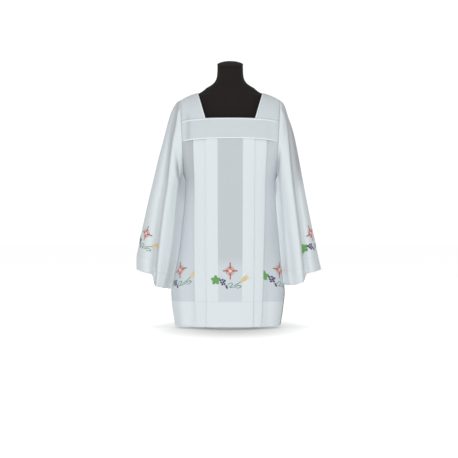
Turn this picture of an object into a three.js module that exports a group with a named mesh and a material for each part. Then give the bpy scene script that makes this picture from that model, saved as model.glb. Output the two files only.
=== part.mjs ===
import * as THREE from "three";

// Millimetres, Z up, front towards -Y. The origin is the centre of the base's underside.

// Cloth
const CLOTH = 1.1; // one layer
const PLEATED_CLOTH = 1; // one layer where it lies in pleats
const HEM_EXTRA = 0.3; // added to the wall where the cloth is turned up
const SEAM = 0.35; // space between two sewn edges
const TAPE = 1; // thickness of a tape or a binding
const TAPE_LIFT = 0.3; // space under a tape
const TAPE_WIDTH = 7;
const TAPE_SHORT = 2.5; // a tape ends this far before the armhole

// Heights
const CHEST = 747; // the upper body rises from here
const RIDGE = 947; // shoulder line at the centre
const RIDGE_DROP = 39; // fall of the shoulder line at the armhole
const RIDGE_POWER = 3.4;
const UNDERARM = 586;
const ARMHOLE_TOP = { x: 199, z: 908 };
const ARMHOLE_FOOT = { x: 183, z: 586 };
const SKIRT_HEM = 9;
const HEM_LINE = 110;
const SEAM_BEND = 3; // how late the yoke seams turn down towards the armhole

// Yoke and neckline of each face: seam heights at the centre, their fall at the armhole,
// and the neckline's half width at its foot and on the shoulder line.
const YOKE = {
  front: { upper: 832, lower: 751, fall: 12, neckFoot: 98, neckTop: 129, y: -1 },
  back: { upper: 856, lower: 751, fall: 12, neckFoot: 108, neckTop: 129, y: 1 },
};

const table = (columns, rows) =>
  rows.map((row) => Object.fromEntries(columns.map((name, i) => [name, row[i]])));

// Horizontal section of the worn cloth: half widths, depths and squareness by height.
const BODY = table(
  ["z", "left", "right", "front", "back", "power"],
  [
    [4, 218, 198, 148, 142, 2.7],
    [60, 227, 208, 147, 141, 2.7],
    [110, 233, 214, 146, 140, 2.7],
    [140, 235, 217, 145, 139, 2.7],
    [200, 226, 212, 143, 137, 2.75],
    [300, 207, 202, 139, 133, 2.8],
    [400, 196, 194, 135, 129, 2.9],
    [500, 187, 187, 131, 125, 3],
    [586, 183, 183, 128, 121.5, 3.15],
    [600, 184.2, 184.2, 127.5, 121, 3.2],
    [650, 192, 192, 126, 120, 3.4],
    [700, 203, 203, 124, 119, 3.7],
    [747, 212.8, 212.8, 122, 118, 4],
    [770, 212.8, 212.8, 122, 118, 4],
  ],
);

// Distances of the pleats' edges from the centre, and the spacing of their layers, by height.
const PLEATS = table(
  ["z", "left1", "left2", "right1", "right2", "inner", "step"],
  [
    [4, 93, 139, 90.5, 127.5, 46, 3.6],
    [270, 94.5, 146.5, 93.5, 136, 48, 3],
    [500, 96.5, 148, 96, 143, 49, 2.3],
    [760, 98, 148, 97.5, 147, 50, 1.7],
  ],
);
const SKIRT_ROWS = [720, 684, 642, 607, 590, 530, 450, 370, 290, 215, 150, 112, 109, 60];

// Sleeve rings from the armhole to the cuff: outer and inner point, half depth, middle,
// and the long valley in the front (its place from outer 0 to inner 1, and its depth).
const RING_COLUMNS = ["outX", "outZ", "inX", "inZ", "depth", "mid", "valleyAt", "valley", "soft"];
const LEFT_RINGS = table(RING_COLUMNS, [
  [199, 908, 183, 586, 93, 0, 0.12, 0, 0],
  [208.5, 902.5, 185.4, 577, 93, 0, 0.15, 1, 0],
  [221.2, 888.4, 188, 563, 92, -1, 0.17, 4, 0],
  [232.4, 868.4, 190.5, 548, 91, -2, 0.2, 8, 1],
  [243.6, 838, 193, 533, 90, -4, 0.22, 12, 3],
  [254.8, 798, 195.5, 519, 89, -6, 0.26, 16, 5],
  [266, 754, 198, 503, 88, -8, 0.3, 20, 6],
  [282.8, 691.6, 200, 478, 87, -11, 0.36, 24, 6],
  [297, 634, 201.3, 452, 86, -14, 0.4, 27, 5],
  [312, 570, 202.5, 424, 85, -17, 0.41, 29, 4],
  [327, 508, 204, 394, 84, -20, 0.42, 30, 4],
  [341, 444, 206.5, 362, 83, -22, 0.435, 31, 4],
  [354.8, 382, 210.5, 326, 82, -24, 0.45, 32, 4],
  [367, 322, 216.5, 284, 80, -26, 0.475, 33, 4],
  [374.6, 277, 228.5, 213, 78, -27, 0.5, 34, 4],
  [375, 234, 248.8, 155, 77, -27, 0.55, 34, 4],
]);
const RIGHT_RINGS = table(RING_COLUMNS, [
  [199, 908, 183, 586, 93, 0, 0.08, 0, 0],
  [208, 900, 185.4, 577, 93, 0, 0.08, 1, 0],
  [217, 887, 187.5, 566, 92, -1, 0.08, 3, 0],
  [225, 866, 189.5, 553, 91, -2, 0.09, 6, 0],
  [232, 842, 191, 538, 90, -4, 0.1, 10, 1],
  [242, 815, 192.5, 522, 89, -6, 0.13, 14, 2],
  [255, 772, 193.5, 504, 88, -8, 0.19, 18, 3],
  [268, 711, 194.5, 478, 87, -11, 0.23, 22, 3],
  [280, 646, 195.8, 450, 86, -14, 0.25, 25, 3],
  [291.5, 584, 197.5, 420, 85, -17, 0.27, 27, 4],
  [303, 523, 199.2, 390, 84, -20, 0.29, 29, 5],
  [315.5, 460, 201.3, 358, 83, -22, 0.31, 30, 7],
  [328, 398, 203.8, 322, 82, -24, 0.37, 31, 9],
  [340, 342, 206.8, 290, 80, -26, 0.4, 32, 10],
  [351, 288, 210.2, 232, 78, -27, 0.39, 33, 11],
  [364, 233, 217.5, 176, 77, -27, 0.435, 33, 12],
]);
// Rise and fall of the cuff's edge along the front, from outer 0 to inner 1.
const CUFF_COLUMNS = ["at", "rise"];
const LEFT_CUFF = table(CUFF_COLUMNS, [[0, 0], [0.3, 12], [0.5, 21], [0.6, -16], [0.8, -8], [1, 0]]);
const RIGHT_CUFF = table(CUFF_COLUMNS, [
  [0, 0], [0.25, 5], [0.4, 9], [0.5, -20], [0.7, -19], [0.9, -11], [1, 0],
]);
const RING_POINTS = 36;
const CUFF_RINGS = 2; // rings whose heights follow the cuff's edge
const VALLEY_WIDTH = 0.11;
const SOFT_WIDTH = 0.13;
const SOFT_AT = 0.78; // the second, shallow fold of the front
const BACK_FOLD_AT = 0.42; // the fold of the hidden side
const BACK_FOLD_SHARE = 0.45; // its depth against the front valley
const CLEAR_OF_BODY = 3; // least distance of a sleeve from the body's cloth
const RINGS_TO_OVAL = 3; // rings over which the armhole's outline turns into an oval
const UNDERARM_ROUND = 40; // least half depth of the sleeve's rounded foot

// Form: half widths, depths and squareness of its sections by height.
const FORM = table(
  ["z", "width", "front", "back", "power"],
  [
    [250, 158, 104, 98, 2.6],
    [300, 170, 109, 101, 2.6],
    [390, 172, 111, 101, 2.6],
    [560, 138, 100, 86, 2.4],
    [700, 160, 109, 102, 2.7],
    [747, 168, 108, 101, 2.8],
    [800, 170, 101, 96, 2.7],
    [838, 169, 94, 89, 2.6],
    [870, 167, 86, 82, 2.4],
    [900, 163, 77, 74, 2.2],
    [915, 159, 72.5, 69.5, 2.05],
    [925, 152, 69.5, 66.5, 2],
    [931.5, 144, 67.5, 64.5, 2],
    [936.4, 125, 66, 63, 2],
    [947, 108, 63.5, 60.5, 2],
    [958, 95, 61, 58, 2],
    [968, 78, 58, 55.5, 2],
    [977, 66.5, 56, 54, 2],
    [989, 58, 54.5, 53, 2],
    [1003, 53.5, 53.5, 52, 2],
    [1026, 51.5, 53, 52, 2],
    [1050, 51, 52.5, 52, 2],
  ],
);
const FORM_POINTS = 36;
const FORM_CLEAR = 0.6; // space between the form's shoulder and the cloth on it
const NECK_EASE = 0.01; // how fast the form leaves the cloth's limit inside the neckline
const NECK_TILT = 0.29; // slope of the neck's top towards the front
const NECK_TILT_FROM = 995;
const NECK_TOP = 1050;
const CAP_RIM = 52;
const CAP_GAP = 0.3;
const CAP_PROFILE = [[0, 0], [50, 0], [52, 1.2], [51, 3.4], [44, 6.6], [33, 10], [19, 12.4], [8, 13.3], [0, 13.5]];
const BASE_RADIUS = 112;
const BASE_HEIGHT = 12;
const BASE_EDGE = 3;
const POLE_RADIUS = 15;
const ROUND_SEGMENTS = 36;
const PLATE_RADIUS = 60;
const PLATE_HEIGHT = 6;
const STACK_GAP = 0.3;

const WHITE_CLOTH = { color: 0xdce3e6, roughness: 0.8, metalness: 0 };
const BLACK_COVER = { color: 0x2a2524, roughness: 0.9, metalness: 0 };
const PAINTED_STEEL = { color: 0x2b2b2c, roughness: 0.45, metalness: 0.6 };

// Value of one column at a key, by a smooth curve through the table's rows.
function lookUp(rows, key, column, at) {
  const last = rows.length - 1;
  let i = 0;
  while (i < last - 1 && at > rows[i + 1][key]) i++;
  const slope = (k) =>
    (rows[k + 1][column] - rows[k][column]) / (rows[k + 1][key] - rows[k][key]);
  const tangent = (k) => {
    if (k === 0 || k === last) return slope(Math.min(k, last - 1));
    const [a, b] = [slope(k - 1), slope(k)];
    return a * b <= 0 ? 0 : (2 * a * b) / (a + b);
  };
  const span = rows[i + 1][key] - rows[i][key];
  const f = THREE.MathUtils.clamp((at - rows[i][key]) / span, 0, 1);
  const [p, q] = [rows[i][column], rows[i + 1][column]];
  const [m, n] = [tangent(i) * span, tangent(i + 1) * span];
  const [f2, f3] = [f * f, f * f * f];
  return (2 * f3 - 3 * f2 + 1) * p + (f3 - 2 * f2 + f) * m + (3 * f2 - 2 * f3) * q + (f3 - f2) * n;
}

const spread = (from, to, count) =>
  Array.from({ length: count }, (_, i) => from + ((to - from) * i) / (count - 1));
const bump = (at, centre, width) => Math.exp(-(((at - centre) / width) ** 2));

// Triangles between two grids of points, the outer and the inner face of one wall.
function wallMesh(name, outer, inner, look, around = false) {
  const rows = outer.length;
  const columns = outer[0].length;
  const index = [];
  const positions = [...outer.flat(), ...inner.flat()].flatMap((p) => [p.x, p.y, p.z]);
  const id = (face, r, c) => face * rows * columns + r * columns + (c % columns);
  const quad = (a, b, c, d) => index.push(a, b, c, a, c, d);
  const last = around ? columns : columns - 1;
  for (let r = 0; r < rows - 1; r++)
    for (let c = 0; c < last; c++) {
      quad(id(0, r, c), id(0, r + 1, c), id(0, r + 1, c + 1), id(0, r, c + 1));
      quad(id(1, r, c), id(1, r, c + 1), id(1, r + 1, c + 1), id(1, r + 1, c));
    }
  for (let c = 0; c < last; c++) {
    quad(id(0, 0, c), id(0, 0, c + 1), id(1, 0, c + 1), id(1, 0, c));
    quad(id(0, rows - 1, c), id(1, rows - 1, c), id(1, rows - 1, c + 1), id(0, rows - 1, c + 1));
  }
  if (!around)
    for (let r = 0; r < rows - 1; r++) {
      quad(id(0, r, 0), id(1, r, 0), id(1, r + 1, 0), id(0, r + 1, 0));
      quad(id(0, r, last), id(0, r + 1, last), id(1, r + 1, last), id(1, r, last));
    }
  return solidMesh(name, positions, index, look);
}

// Mesh of a closed surface, its faces turned outwards.
function solidMesh(name, positions, index, look) {
  let volume = 0;
  const corner = (i) => new THREE.Vector3().fromArray(positions, i * 3);
  for (let i = 0; i < index.length; i += 3)
    volume += corner(index[i]).dot(corner(index[i + 1]).cross(corner(index[i + 2])));
  if (volume < 0)
    for (let i = 0; i < index.length; i += 3) [index[i], index[i + 1]] = [index[i + 1], index[i]];
  const geometry = new THREE.BufferGeometry();
  geometry.setAttribute("position", new THREE.Float32BufferAttribute(positions, 3));
  geometry.setIndex(index);
  const mesh = new THREE.Mesh(geometry, new THREE.MeshStandardMaterial(look));
  mesh.name = name;
  return mesh;
}

// Unit normals of a grid of points, all to the side that `facing` says is out.
function gridNormals(grid, facing, around = false) {
  const [rows, columns] = [grid.length, grid[0].length];
  const step = (c, by) =>
    around ? (c + by + columns) % columns : THREE.MathUtils.clamp(c + by, 0, columns - 1);
  return grid.map((row, r) =>
    row.map((point, c) => {
      const along = grid[Math.min(r + 1, rows - 1)][c].clone().sub(grid[Math.max(r - 1, 0)][c]);
      const across = grid[r][step(c, 1)].clone().sub(grid[r][step(c, -1)]);
      const normal = along.cross(across).normalize();
      return normal.dot(facing(point)) < 0 ? normal.negate() : normal;
    }),
  );
}

const offset = (grid, normals, by) =>
  grid.map((row, r) => row.map((p, c) => p.clone().addScaledVector(normals[r][c], by)));

// Upper body: heights of the shoulder line and depths of the arch under it.
const ridge = (x) => RIDGE - RIDGE_DROP * (Math.abs(x) / ARMHOLE_TOP.x) ** RIDGE_POWER;

function archDepth(x, face) {
  const chest = BODY.at(-1);
  return chest[face] * (1 - (Math.abs(x) / chest.left) ** chest.power) ** (1 / chest.power);
}

// Point of the worn surface above the chest, for a place across and a height.
function archPoint(x, z, face) {
  const rise = Math.max(0, z - CHEST) / (ridge(x) - CHEST);
  const y = YOKE[face].y * archDepth(x, face) * Math.sqrt(Math.max(0, 1 - rise * rise));
  return new THREE.Vector3(x, y, z);
}

const armholeX = (z) =>
  ARMHOLE_FOOT.x +
  ((ARMHOLE_TOP.x - ARMHOLE_FOOT.x) * (z - ARMHOLE_FOOT.z)) / (ARMHOLE_TOP.z - ARMHOLE_FOOT.z);

const halfWidth = (z, side) => lookUp(BODY, "z", side < 0 ? "left" : "right", z);

// Depth of the body's section at a place across, front or back.
function sectionDepth(x, z, face) {
  const power = lookUp(BODY, "z", "power", z);
  const share = Math.min(1, Math.abs(x) / halfWidth(z, Math.sign(x) || 1));
  return lookUp(BODY, "z", face, z) * (1 - share ** power) ** (1 / power);
}

const surfacePoint = (x, z, face) =>
  z >= CHEST ? archPoint(x, z, face) : new THREE.Vector3(x, YOKE[face].y * sectionDepth(x, z, face), z);

// Height of a yoke seam at a share of the way from the centre to the armhole.
const seamHeight = (face, edge, share) =>
  YOKE[face][edge] - YOKE[face].fall * Math.abs(share) ** SEAM_BEND;

const outwards = (p) => new THREE.Vector3(p.x * 0.3, p.y, Math.max(0, p.z - CHEST) * 0.6);

// Quarter of the section at one height as points by their distance along it from the centre.
const QUARTER_STEPS = 240;
const quarters = new Map();
function quarter(z, side, face) {
  const key = `${z.toFixed(3)} ${side} ${face}`;
  if (quarters.has(key)) return quarters.get(key);
  const power = lookUp(BODY, "z", "power", z);
  const width = halfWidth(z, side);
  const depth = lookUp(BODY, "z", face, z);
  const points = [];
  for (let i = 0, along = 0; i <= QUARTER_STEPS; i++) {
    const angle = (Math.PI / 2) * (i / QUARTER_STEPS);
    const [s, c] = [Math.sin(angle), Math.max(0, Math.cos(angle))];
    const radius = ((s / width) ** power + (c / depth) ** power) ** (-1 / power);
    const [x, y] = [radius * s, radius * c];
    if (i) along += Math.hypot(x - points[i - 1].x, y - points[i - 1].y);
    points.push({ along, x, y, width, depth, power });
  }
  quarters.set(key, points);
  return points;
}

// Point and outward direction of the section at a signed distance along it from the centre.
function alongSection(z, along, face) {
  const side = along < 0 ? -1 : 1;
  const points = quarter(z, side, face);
  const target = Math.min(Math.abs(along), points.at(-1).along);
  let i = 1;
  while (i < points.length - 1 && points[i].along < target) i++;
  const [a, b] = [points[i - 1], points[i]];
  const f = (target - a.along) / (b.along - a.along || 1);
  const [x, y] = [a.x + (b.x - a.x) * f, a.y + (b.y - a.y) * f];
  const out = new THREE.Vector2(
    ((x / a.width) ** (a.power - 1) / a.width) * side,
    ((y / a.depth) ** (a.power - 1) / a.depth) * YOKE[face].y,
  ).normalize();
  return { point: new THREE.Vector2(x * side, y * YOKE[face].y), out };
}

// Distance along the section to the skirt panel's side edge: the armhole, or the side seam.
function sideEdge(z, side, face) {
  const points = quarter(z, side, face);
  const seam = points.at(-1).along - SEAM / 2;
  if (z <= UNDERARM) return seam;
  const limit = armholeX(z);
  const found = points.find((p) => p.x > limit);
  if (!found) return seam;
  const before = points[points.indexOf(found) - 1];
  const f = (limit - before.x) / (found.x - before.x);
  return Math.min(seam, before.along + (found.along - before.along) * f);
}

// Path of one half of the pleated panel: distance from the centre and depth of its middle layer.
function pleatPath(z, side, face) {
  const sideName = side < 0 ? "left" : "right";
  const read = (column) => lookUp(PLEATS, "z", column, z);
  const [first, second, inner] = [read(sideName + 1), read(sideName + 2), read("inner")];
  const step = read("step");
  const level = (n) => PLEATED_CLOTH / 2 + n * step;
  const turn = step / 2;
  const edge = sideEdge(z, side, face);
  const hidden = first + 2 * turn;
  const path = [];
  const run = (from, to, n, count) => spread(from, to, count).forEach((at) => path.push([at, level(n)]));
  run(0, first - turn, 0, 5);
  path.push([first, level(0.5)]);
  run(first - turn, inner + turn, 1, 3);
  path.push([inner, level(1.5)]);
  run(inner + turn, second - turn, 2, 5);
  path.push([second, level(2.5)]);
  run(second - turn, hidden + turn, 3, 3);
  path.push([hidden, level(3.5)]);
  run(hidden + turn, second, 4, 3);
  for (const share of [0.35, 0.6, 0.8, 0.93, 1]) {
    const ease = share * share * (3 - 2 * share);
    path.push([second + (edge - second) * share, level(4) * (1 - ease) + level(0) * ease]);
  }
  return path;
}

// Outer and inner points of the pleated panel across one height.
function pleatedRow(heightAt, face, thickness) {
  const reach = sideEdge(CHEST, 1, face);
  const half = (side) =>
    pleatPath(heightAt(0), side, face).map(([at]) => ({ side, share: at / reach }));
  const placed = [];
  for (const side of [-1, 1]) {
    const count = half(side).length;
    for (let i = 0; i < count; i++) {
      const z = heightAt(half(side)[i].share);
      const [at, depth] = pleatPath(z, side, face)[i];
      const { point, out } = alongSection(z, at * side, face);
      placed.push({ side, i, p: new THREE.Vector3(point.x - out.x * depth, point.y - out.y * depth, z) });
    }
  }
  const left = placed.filter((q) => q.side < 0).reverse();
  const right = placed.filter((q) => q.side > 0).slice(1);
  const line = [...left, ...right].map((q) => q.p);
  return offsetLine(line, face, thickness);
}

// Both faces of a wall whose middle runs along a level line, mitred at every turn.
function offsetLine(line, face, thickness) {
  const last = line.length - 1;
  const heading = (i) => new THREE.Vector2(line[i + 1].x - line[i].x, line[i + 1].y - line[i].y).normalize();
  const [outer, inner] = [[], []];
  line.forEach((p, i) => {
    const before = heading(Math.max(0, i - 1));
    const after = heading(Math.min(last - 1, i));
    const middle = before.clone().add(after).normalize();
    const mitre = (PLEATED_CLOTH / 2) / Math.max(0.6, middle.dot(after));
    const normal = new THREE.Vector3(-middle.y, middle.x, 0).multiplyScalar(YOKE[face].y);
    outer.push(p.clone().addScaledVector(normal, mitre));
    inner.push(p.clone().addScaledVector(normal, -mitre * ((2 * thickness) / PLEATED_CLOTH - 1)));
  });
  return { outer, inner };
}

function skirtPanel(face) {
  const top = (share) => seamHeight(face, "lower", Math.min(1, share)) - SEAM;
  const rows = [pleatedRow(top, face, PLEATED_CLOTH)];
  for (const z of [...SKIRT_ROWS, SKIRT_HEM]) {
    const hem = z < HEM_LINE ? HEM_EXTRA : 0;
    rows.push(pleatedRow(() => z, face, PLEATED_CLOTH + hem));
  }
  return wallMesh(`skirt_${face}`, rows.map((r) => r.outer), rows.map((r) => r.inner), WHITE_CLOTH);
}

// Grid of surface points between two heights, across from armhole to armhole.
const ACROSS = [0, 0.16, 0.32, 0.48, 0.62, 0.74, 0.84, 0.92, 0.97, 1];
const ACROSS_BOTH = [...ACROSS.slice(1).map((s) => -s).reverse(), ...ACROSS];
function bandGrid(face, heights, shortBy = 0) {
  return heights.map((heightAt) =>
    ACROSS_BOTH.map((share) => {
      const z = heightAt(share);
      return surfacePoint(share * (armholeX(z) - shortBy), z, face);
    }),
  );
}

const YOKE_ROWS = 6;
function yokeBand(face) {
  const heights = spread(0, 1, YOKE_ROWS).map((f) => (share) => {
    const [low, high] = [seamHeight(face, "lower", share), seamHeight(face, "upper", share)];
    return low + (high - SEAM - low) * f;
  });
  const outer = bandGrid(face, heights);
  const normals = gridNormals(outer, outwards);
  return wallMesh(`yoke_${face}`, outer, offset(outer, normals, -CLOTH), WHITE_CLOTH);
}

function yokeTape(name, face, edge, above) {
  const heights = [0, TAPE_WIDTH].map((up) => (share) => seamHeight(face, edge, share) + above + up);
  const base = bandGrid(face, heights, TAPE_SHORT);
  const normals = gridNormals(base, outwards);
  const outer = offset(base, normals, TAPE_LIFT + TAPE);
  return wallMesh(name, outer, offset(base, normals, TAPE_LIFT), WHITE_CLOTH);
}

// Neckline's distance from the centre at a height.
function neckX(face, z) {
  const { neckFoot, neckTop, upper } = YOKE[face];
  return neckFoot + ((neckTop - neckFoot) * (z - upper)) / (ridge(neckTop) - upper);
}

// Point of the shoulder strap: turn 0 at the front seam to 1 at the back, share 0 at the neckline
// to 1 at the armhole.
const SETTLE_ROUNDS = 12;
function strapPoint(side, turn, share) {
  const face = turn < 0.5 ? "front" : "back";
  let z = (YOKE[face].upper + RIDGE) / 2;
  let x = 150;
  for (let i = 0; i < SETTLE_ROUNDS; i++) {
    x = neckX(face, z) + (armholeX(z) - neckX(face, z)) * share;
    const rise = (ridge(x) - CHEST);
    const foot = Math.asin((seamHeight(face, "upper", x / armholeX(z)) - CHEST) / rise);
    const angle = foot + (Math.PI / 2 - foot) * (1 - Math.abs(1 - 2 * turn));
    z = CHEST + rise * Math.sin(angle);
  }
  const point = archPoint(x, Math.min(z, ridge(x)), face);
  point.x *= side;
  return point;
}

const STRAP_TURNS = spread(0, 1, 17);
const STRAP_SHARES = [0, 0.12, 0.3, 0.5, 0.7, 0.86, 0.95, 1];
function shoulderStrap(name, side) {
  const outer = STRAP_TURNS.map((turn) => STRAP_SHARES.map((share) => strapPoint(side, turn, share)));
  const normals = gridNormals(outer, outwards);
  return wallMesh(name, outer, offset(outer, normals, -CLOTH), WHITE_CLOTH);
}

const BINDING_WIDTH = 6;
function neckBinding(name, side) {
  const base = STRAP_TURNS.map((turn) =>
    [0, BINDING_WIDTH].map((width) => {
      const [p, q] = [0, 1].map((column) => strapPoint(side, turn, STRAP_SHARES[column]));
      return p.clone().addScaledVector(q.sub(p).normalize(), width);
    }),
  );
  const normals = gridNormals(base, outwards);
  const outer = offset(base, normals, TAPE_LIFT + TAPE);
  return wallMesh(name, outer, offset(base, normals, TAPE_LIFT), WHITE_CLOTH);
}

// Outline of the armhole at one height, half its depth towards the front or the back.
function armholeDepth(z, face) {
  const x = Math.min(armholeX(z), halfWidth(z, 1));
  return Math.abs(surfacePoint(x, z, face).y);
}

// Points of one sleeve ring, from the outer point over the front, the inner point and the back.
function sleeveRing(rings, cuff, number, side) {
  const ring = rings[number];
  const toOval = Math.min(1, number / RINGS_TO_OVAL);
  const cuffShare = Math.max(0, number - (rings.length - 1 - CUFF_RINGS)) / CUFF_RINGS;
  return Array.from({ length: RING_POINTS }, (_, i) => {
    const angle = (2 * Math.PI * i) / RING_POINTS;
    const front = Math.sin(angle) > 0;
    const at = (1 - Math.cos(angle)) / 2;
    let z = ring.outZ + (ring.inZ - ring.outZ) * at;
    let x = ring.outX + (ring.inX - ring.outX) * at;
    const bulge = Math.abs(Math.sin(angle));
    const oval = ring.depth * bulge;
    const outline = Math.max(armholeDepth(z, front ? "front" : "back"), UNDERARM_ROUND * bulge);
    const half = outline * (1 - toOval) + oval * toOval;
    const folds = front
      ? ring.valley * bump(at, ring.valleyAt, VALLEY_WIDTH) + ring.soft * bump(at, SOFT_AT, SOFT_WIDTH)
      : ring.valley * BACK_FOLD_SHARE * bump(at, BACK_FOLD_AT, VALLEY_WIDTH * 1.4);
    const depth = half - folds * Math.min(1, bulge * 1.6);
    const y = ring.mid * bulge * bulge + (front ? -depth : depth);
    z += cuffShare ** 2 * (front ? lookUp(cuff, "at", "rise", at) : -4 * bulge * bulge);
    if (number > 0) x = Math.max(x, clearOfBody(x, y, z, side, number === 1 ? 1 : CLEAR_OF_BODY));
    else x += SEAM;
    return new THREE.Vector3(x * side, y, z);
  });
}

// Distance across that keeps a point outside the body's cloth below the underarm.
function clearOfBody(x, y, z, side, least) {
  if (z > UNDERARM) return x;
  const face = y < 0 ? "front" : "back";
  const depth = lookUp(BODY, "z", face, z);
  const power = lookUp(BODY, "z", "power", z);
  const share = Math.min(1, Math.abs(y) / depth);
  return halfWidth(z, side) * (1 - share ** power) ** (1 / power) + least + CLOTH;
}

function sleeve(name, rings, cuff, side) {
  const outer = rings.map((_, n) => sleeveRing(rings, cuff, n, side));
  const middle = rings.map((r) => new THREE.Vector3(((r.outX + r.inX) / 2) * side, 0, (r.outZ + r.inZ) / 2));
  const normals = gridNormals(outer, () => new THREE.Vector3(1, 0, 0), true);
  normals.forEach((row, r) => {
    row.forEach((normal, c) => {
      if (normal.dot(outer[r][c].clone().sub(middle[r])) < 0) normal.negate();
    });
  });
  normals[0].forEach((normal) => normal.setX(0).normalize());
  const inner = outer.map((row, r) => {
    const thickness = r === rings.length - 1 ? CLOTH + HEM_EXTRA : CLOTH;
    return row.map((p, c) => p.clone().addScaledVector(normals[r][c], -thickness));
  });
  return wallMesh(name, outer, inner, WHITE_CLOTH, true);
}

// Surface of stacked rings, closed by a fan over each end.
function stackedRings(name, rings, look) {
  const count = rings[0].length;
  const centre = (ring) => ring.reduce((sum, p) => sum.add(p), new THREE.Vector3()).divideScalar(count);
  const points = [...rings.flat(), centre(rings[0]), centre(rings.at(-1))];
  const [foot, head] = [points.length - 2, points.length - 1];
  const index = [];
  rings.slice(1).forEach((_, r) => {
    for (let c = 0; c < count; c++) {
      const [a, b] = [r * count + c, r * count + ((c + 1) % count)];
      index.push(a, b, b + count, a, b + count, a + count);
    }
  });
  const top = (rings.length - 1) * count;
  for (let c = 0; c < count; c++) {
    index.push(foot, (c + 1) % count, c);
    index.push(head, top + c, top + ((c + 1) % count));
  }
  return solidMesh(name, points.flatMap((p) => [p.x, p.y, p.z]), index, look);
}

// Greatest depth of the form under the shoulder cloth at one place.
function underCloth(x, z, face) {
  const shrink = CLOTH + FORM_CLEAR;
  const rise = (z - CHEST) / (ridge(x) - shrink - CHEST);
  return rise >= 1 ? 0 : (archDepth(x, face) - shrink) * Math.sqrt(1 - rise * rise);
}

function formRing(z) {
  const read = (column) => lookUp(FORM, "z", column, z);
  const [width, power] = [read("width"), read("power")];
  const tilt = NECK_TILT * THREE.MathUtils.smoothstep(z, NECK_TILT_FROM, NECK_TOP);
  return Array.from({ length: FORM_POINTS }, (_, i) => {
    const angle = (2 * Math.PI * i) / FORM_POINTS;
    const [s, c] = [Math.sin(angle), Math.cos(angle)];
    const face = c > 0 ? "front" : "back";
    const radius = ((Math.abs(s) / width) ** power + (Math.abs(c) / read(face)) ** power) ** (-1 / power);
    const x = radius * s;
    let y = Math.abs(radius * c);
    const beside = Math.max(0, neckX(face, Math.max(z, YOKE[face].upper)) - Math.abs(x));
    if (z > CHEST && z < ridge(YOKE[face].neckTop))
      y = Math.min(y, underCloth(x, z, face) + NECK_EASE * beside * beside);
    y *= YOKE[face].y;
    return new THREE.Vector3(x, y, z + tilt * y);
  });
}

const FORM_ROWS = [
  250, 258, 280, 320, 390, 460, 520, 570, 630, 690, 747, 795, 838, 870, 895, 912, 923, 930, 936.4,
  947, 958, 968, 977, 989, 1004, 1026, 1050,
];
const TORSO_EDGE = 6; // rounding of the torso's lower edge
function formTorso() {
  const rings = FORM_ROWS.map(formRing);
  rings[0].forEach((p) => p.multiply(new THREE.Vector3(1 - TORSO_EDGE / 160, 1 - TORSO_EDGE / 100, 1)));
  return stackedRings("form_torso", rings, BLACK_COVER);
}

function lathe(name, profile, look) {
  const rings = profile.filter(([r]) => r > 0).map(([r, z]) =>
    Array.from({ length: ROUND_SEGMENTS }, (_, i) => {
      const angle = (2 * Math.PI * i) / ROUND_SEGMENTS;
      return new THREE.Vector3(r * Math.cos(angle), r * Math.sin(angle), z);
    }),
  );
  return stackedRings(name, rings, look);
}

function neckCap() {
  const cap = lathe("form_neck_cap", CAP_PROFILE, BLACK_COVER);
  const stretch = CAP_RIM / CAP_PROFILE[2][0];
  cap.geometry.scale(stretch, stretch * Math.hypot(1, NECK_TILT), 1);
  cap.geometry.rotateX(Math.atan(NECK_TILT));
  cap.geometry.translate(0, 0, NECK_TOP + CAP_GAP * Math.hypot(1, NECK_TILT));
  return cap;
}

function stand() {
  const foot = FORM_ROWS[0];
  const plateFoot = foot - STACK_GAP - PLATE_HEIGHT;
  return [
    lathe("form_base", [
      [BASE_RADIUS, 0], [BASE_RADIUS, BASE_HEIGHT - BASE_EDGE],
      [BASE_RADIUS - BASE_EDGE, BASE_HEIGHT - 0.6], [BASE_RADIUS - 2 * BASE_EDGE, BASE_HEIGHT],
    ], PAINTED_STEEL),
    lathe("form_pole", [
      [POLE_RADIUS, BASE_HEIGHT + STACK_GAP], [POLE_RADIUS, plateFoot - STACK_GAP],
    ], PAINTED_STEEL),
    lathe("form_plate", [[PLATE_RADIUS, plateFoot], [PLATE_RADIUS, plateFoot + PLATE_HEIGHT]], PAINTED_STEEL),
  ];
}

const part = new THREE.Group();
part.name = "surplice_on_form";
part.add(formTorso(), neckCap(), ...stand());
for (const face of ["front", "back"]) {
  part.add(skirtPanel(face), yokeBand(face));
  part.add(yokeTape(`yoke_tape_lower_${face}`, face, "lower", -TAPE_WIDTH / 2));
  part.add(yokeTape(`yoke_tape_upper_${face}`, face, "upper", -TAPE_WIDTH - SEAM));
}
part.add(shoulderStrap("shoulder_left", -1), shoulderStrap("shoulder_right", 1));
part.add(neckBinding("neck_binding_left", -1), neckBinding("neck_binding_right", 1));
part.add(sleeve("sleeve_left", LEFT_RINGS, LEFT_CUFF, -1));
part.add(sleeve("sleeve_right", RIGHT_RINGS, RIGHT_CUFF, 1));

export default part;
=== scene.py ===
import bisect
import math
import random

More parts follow.
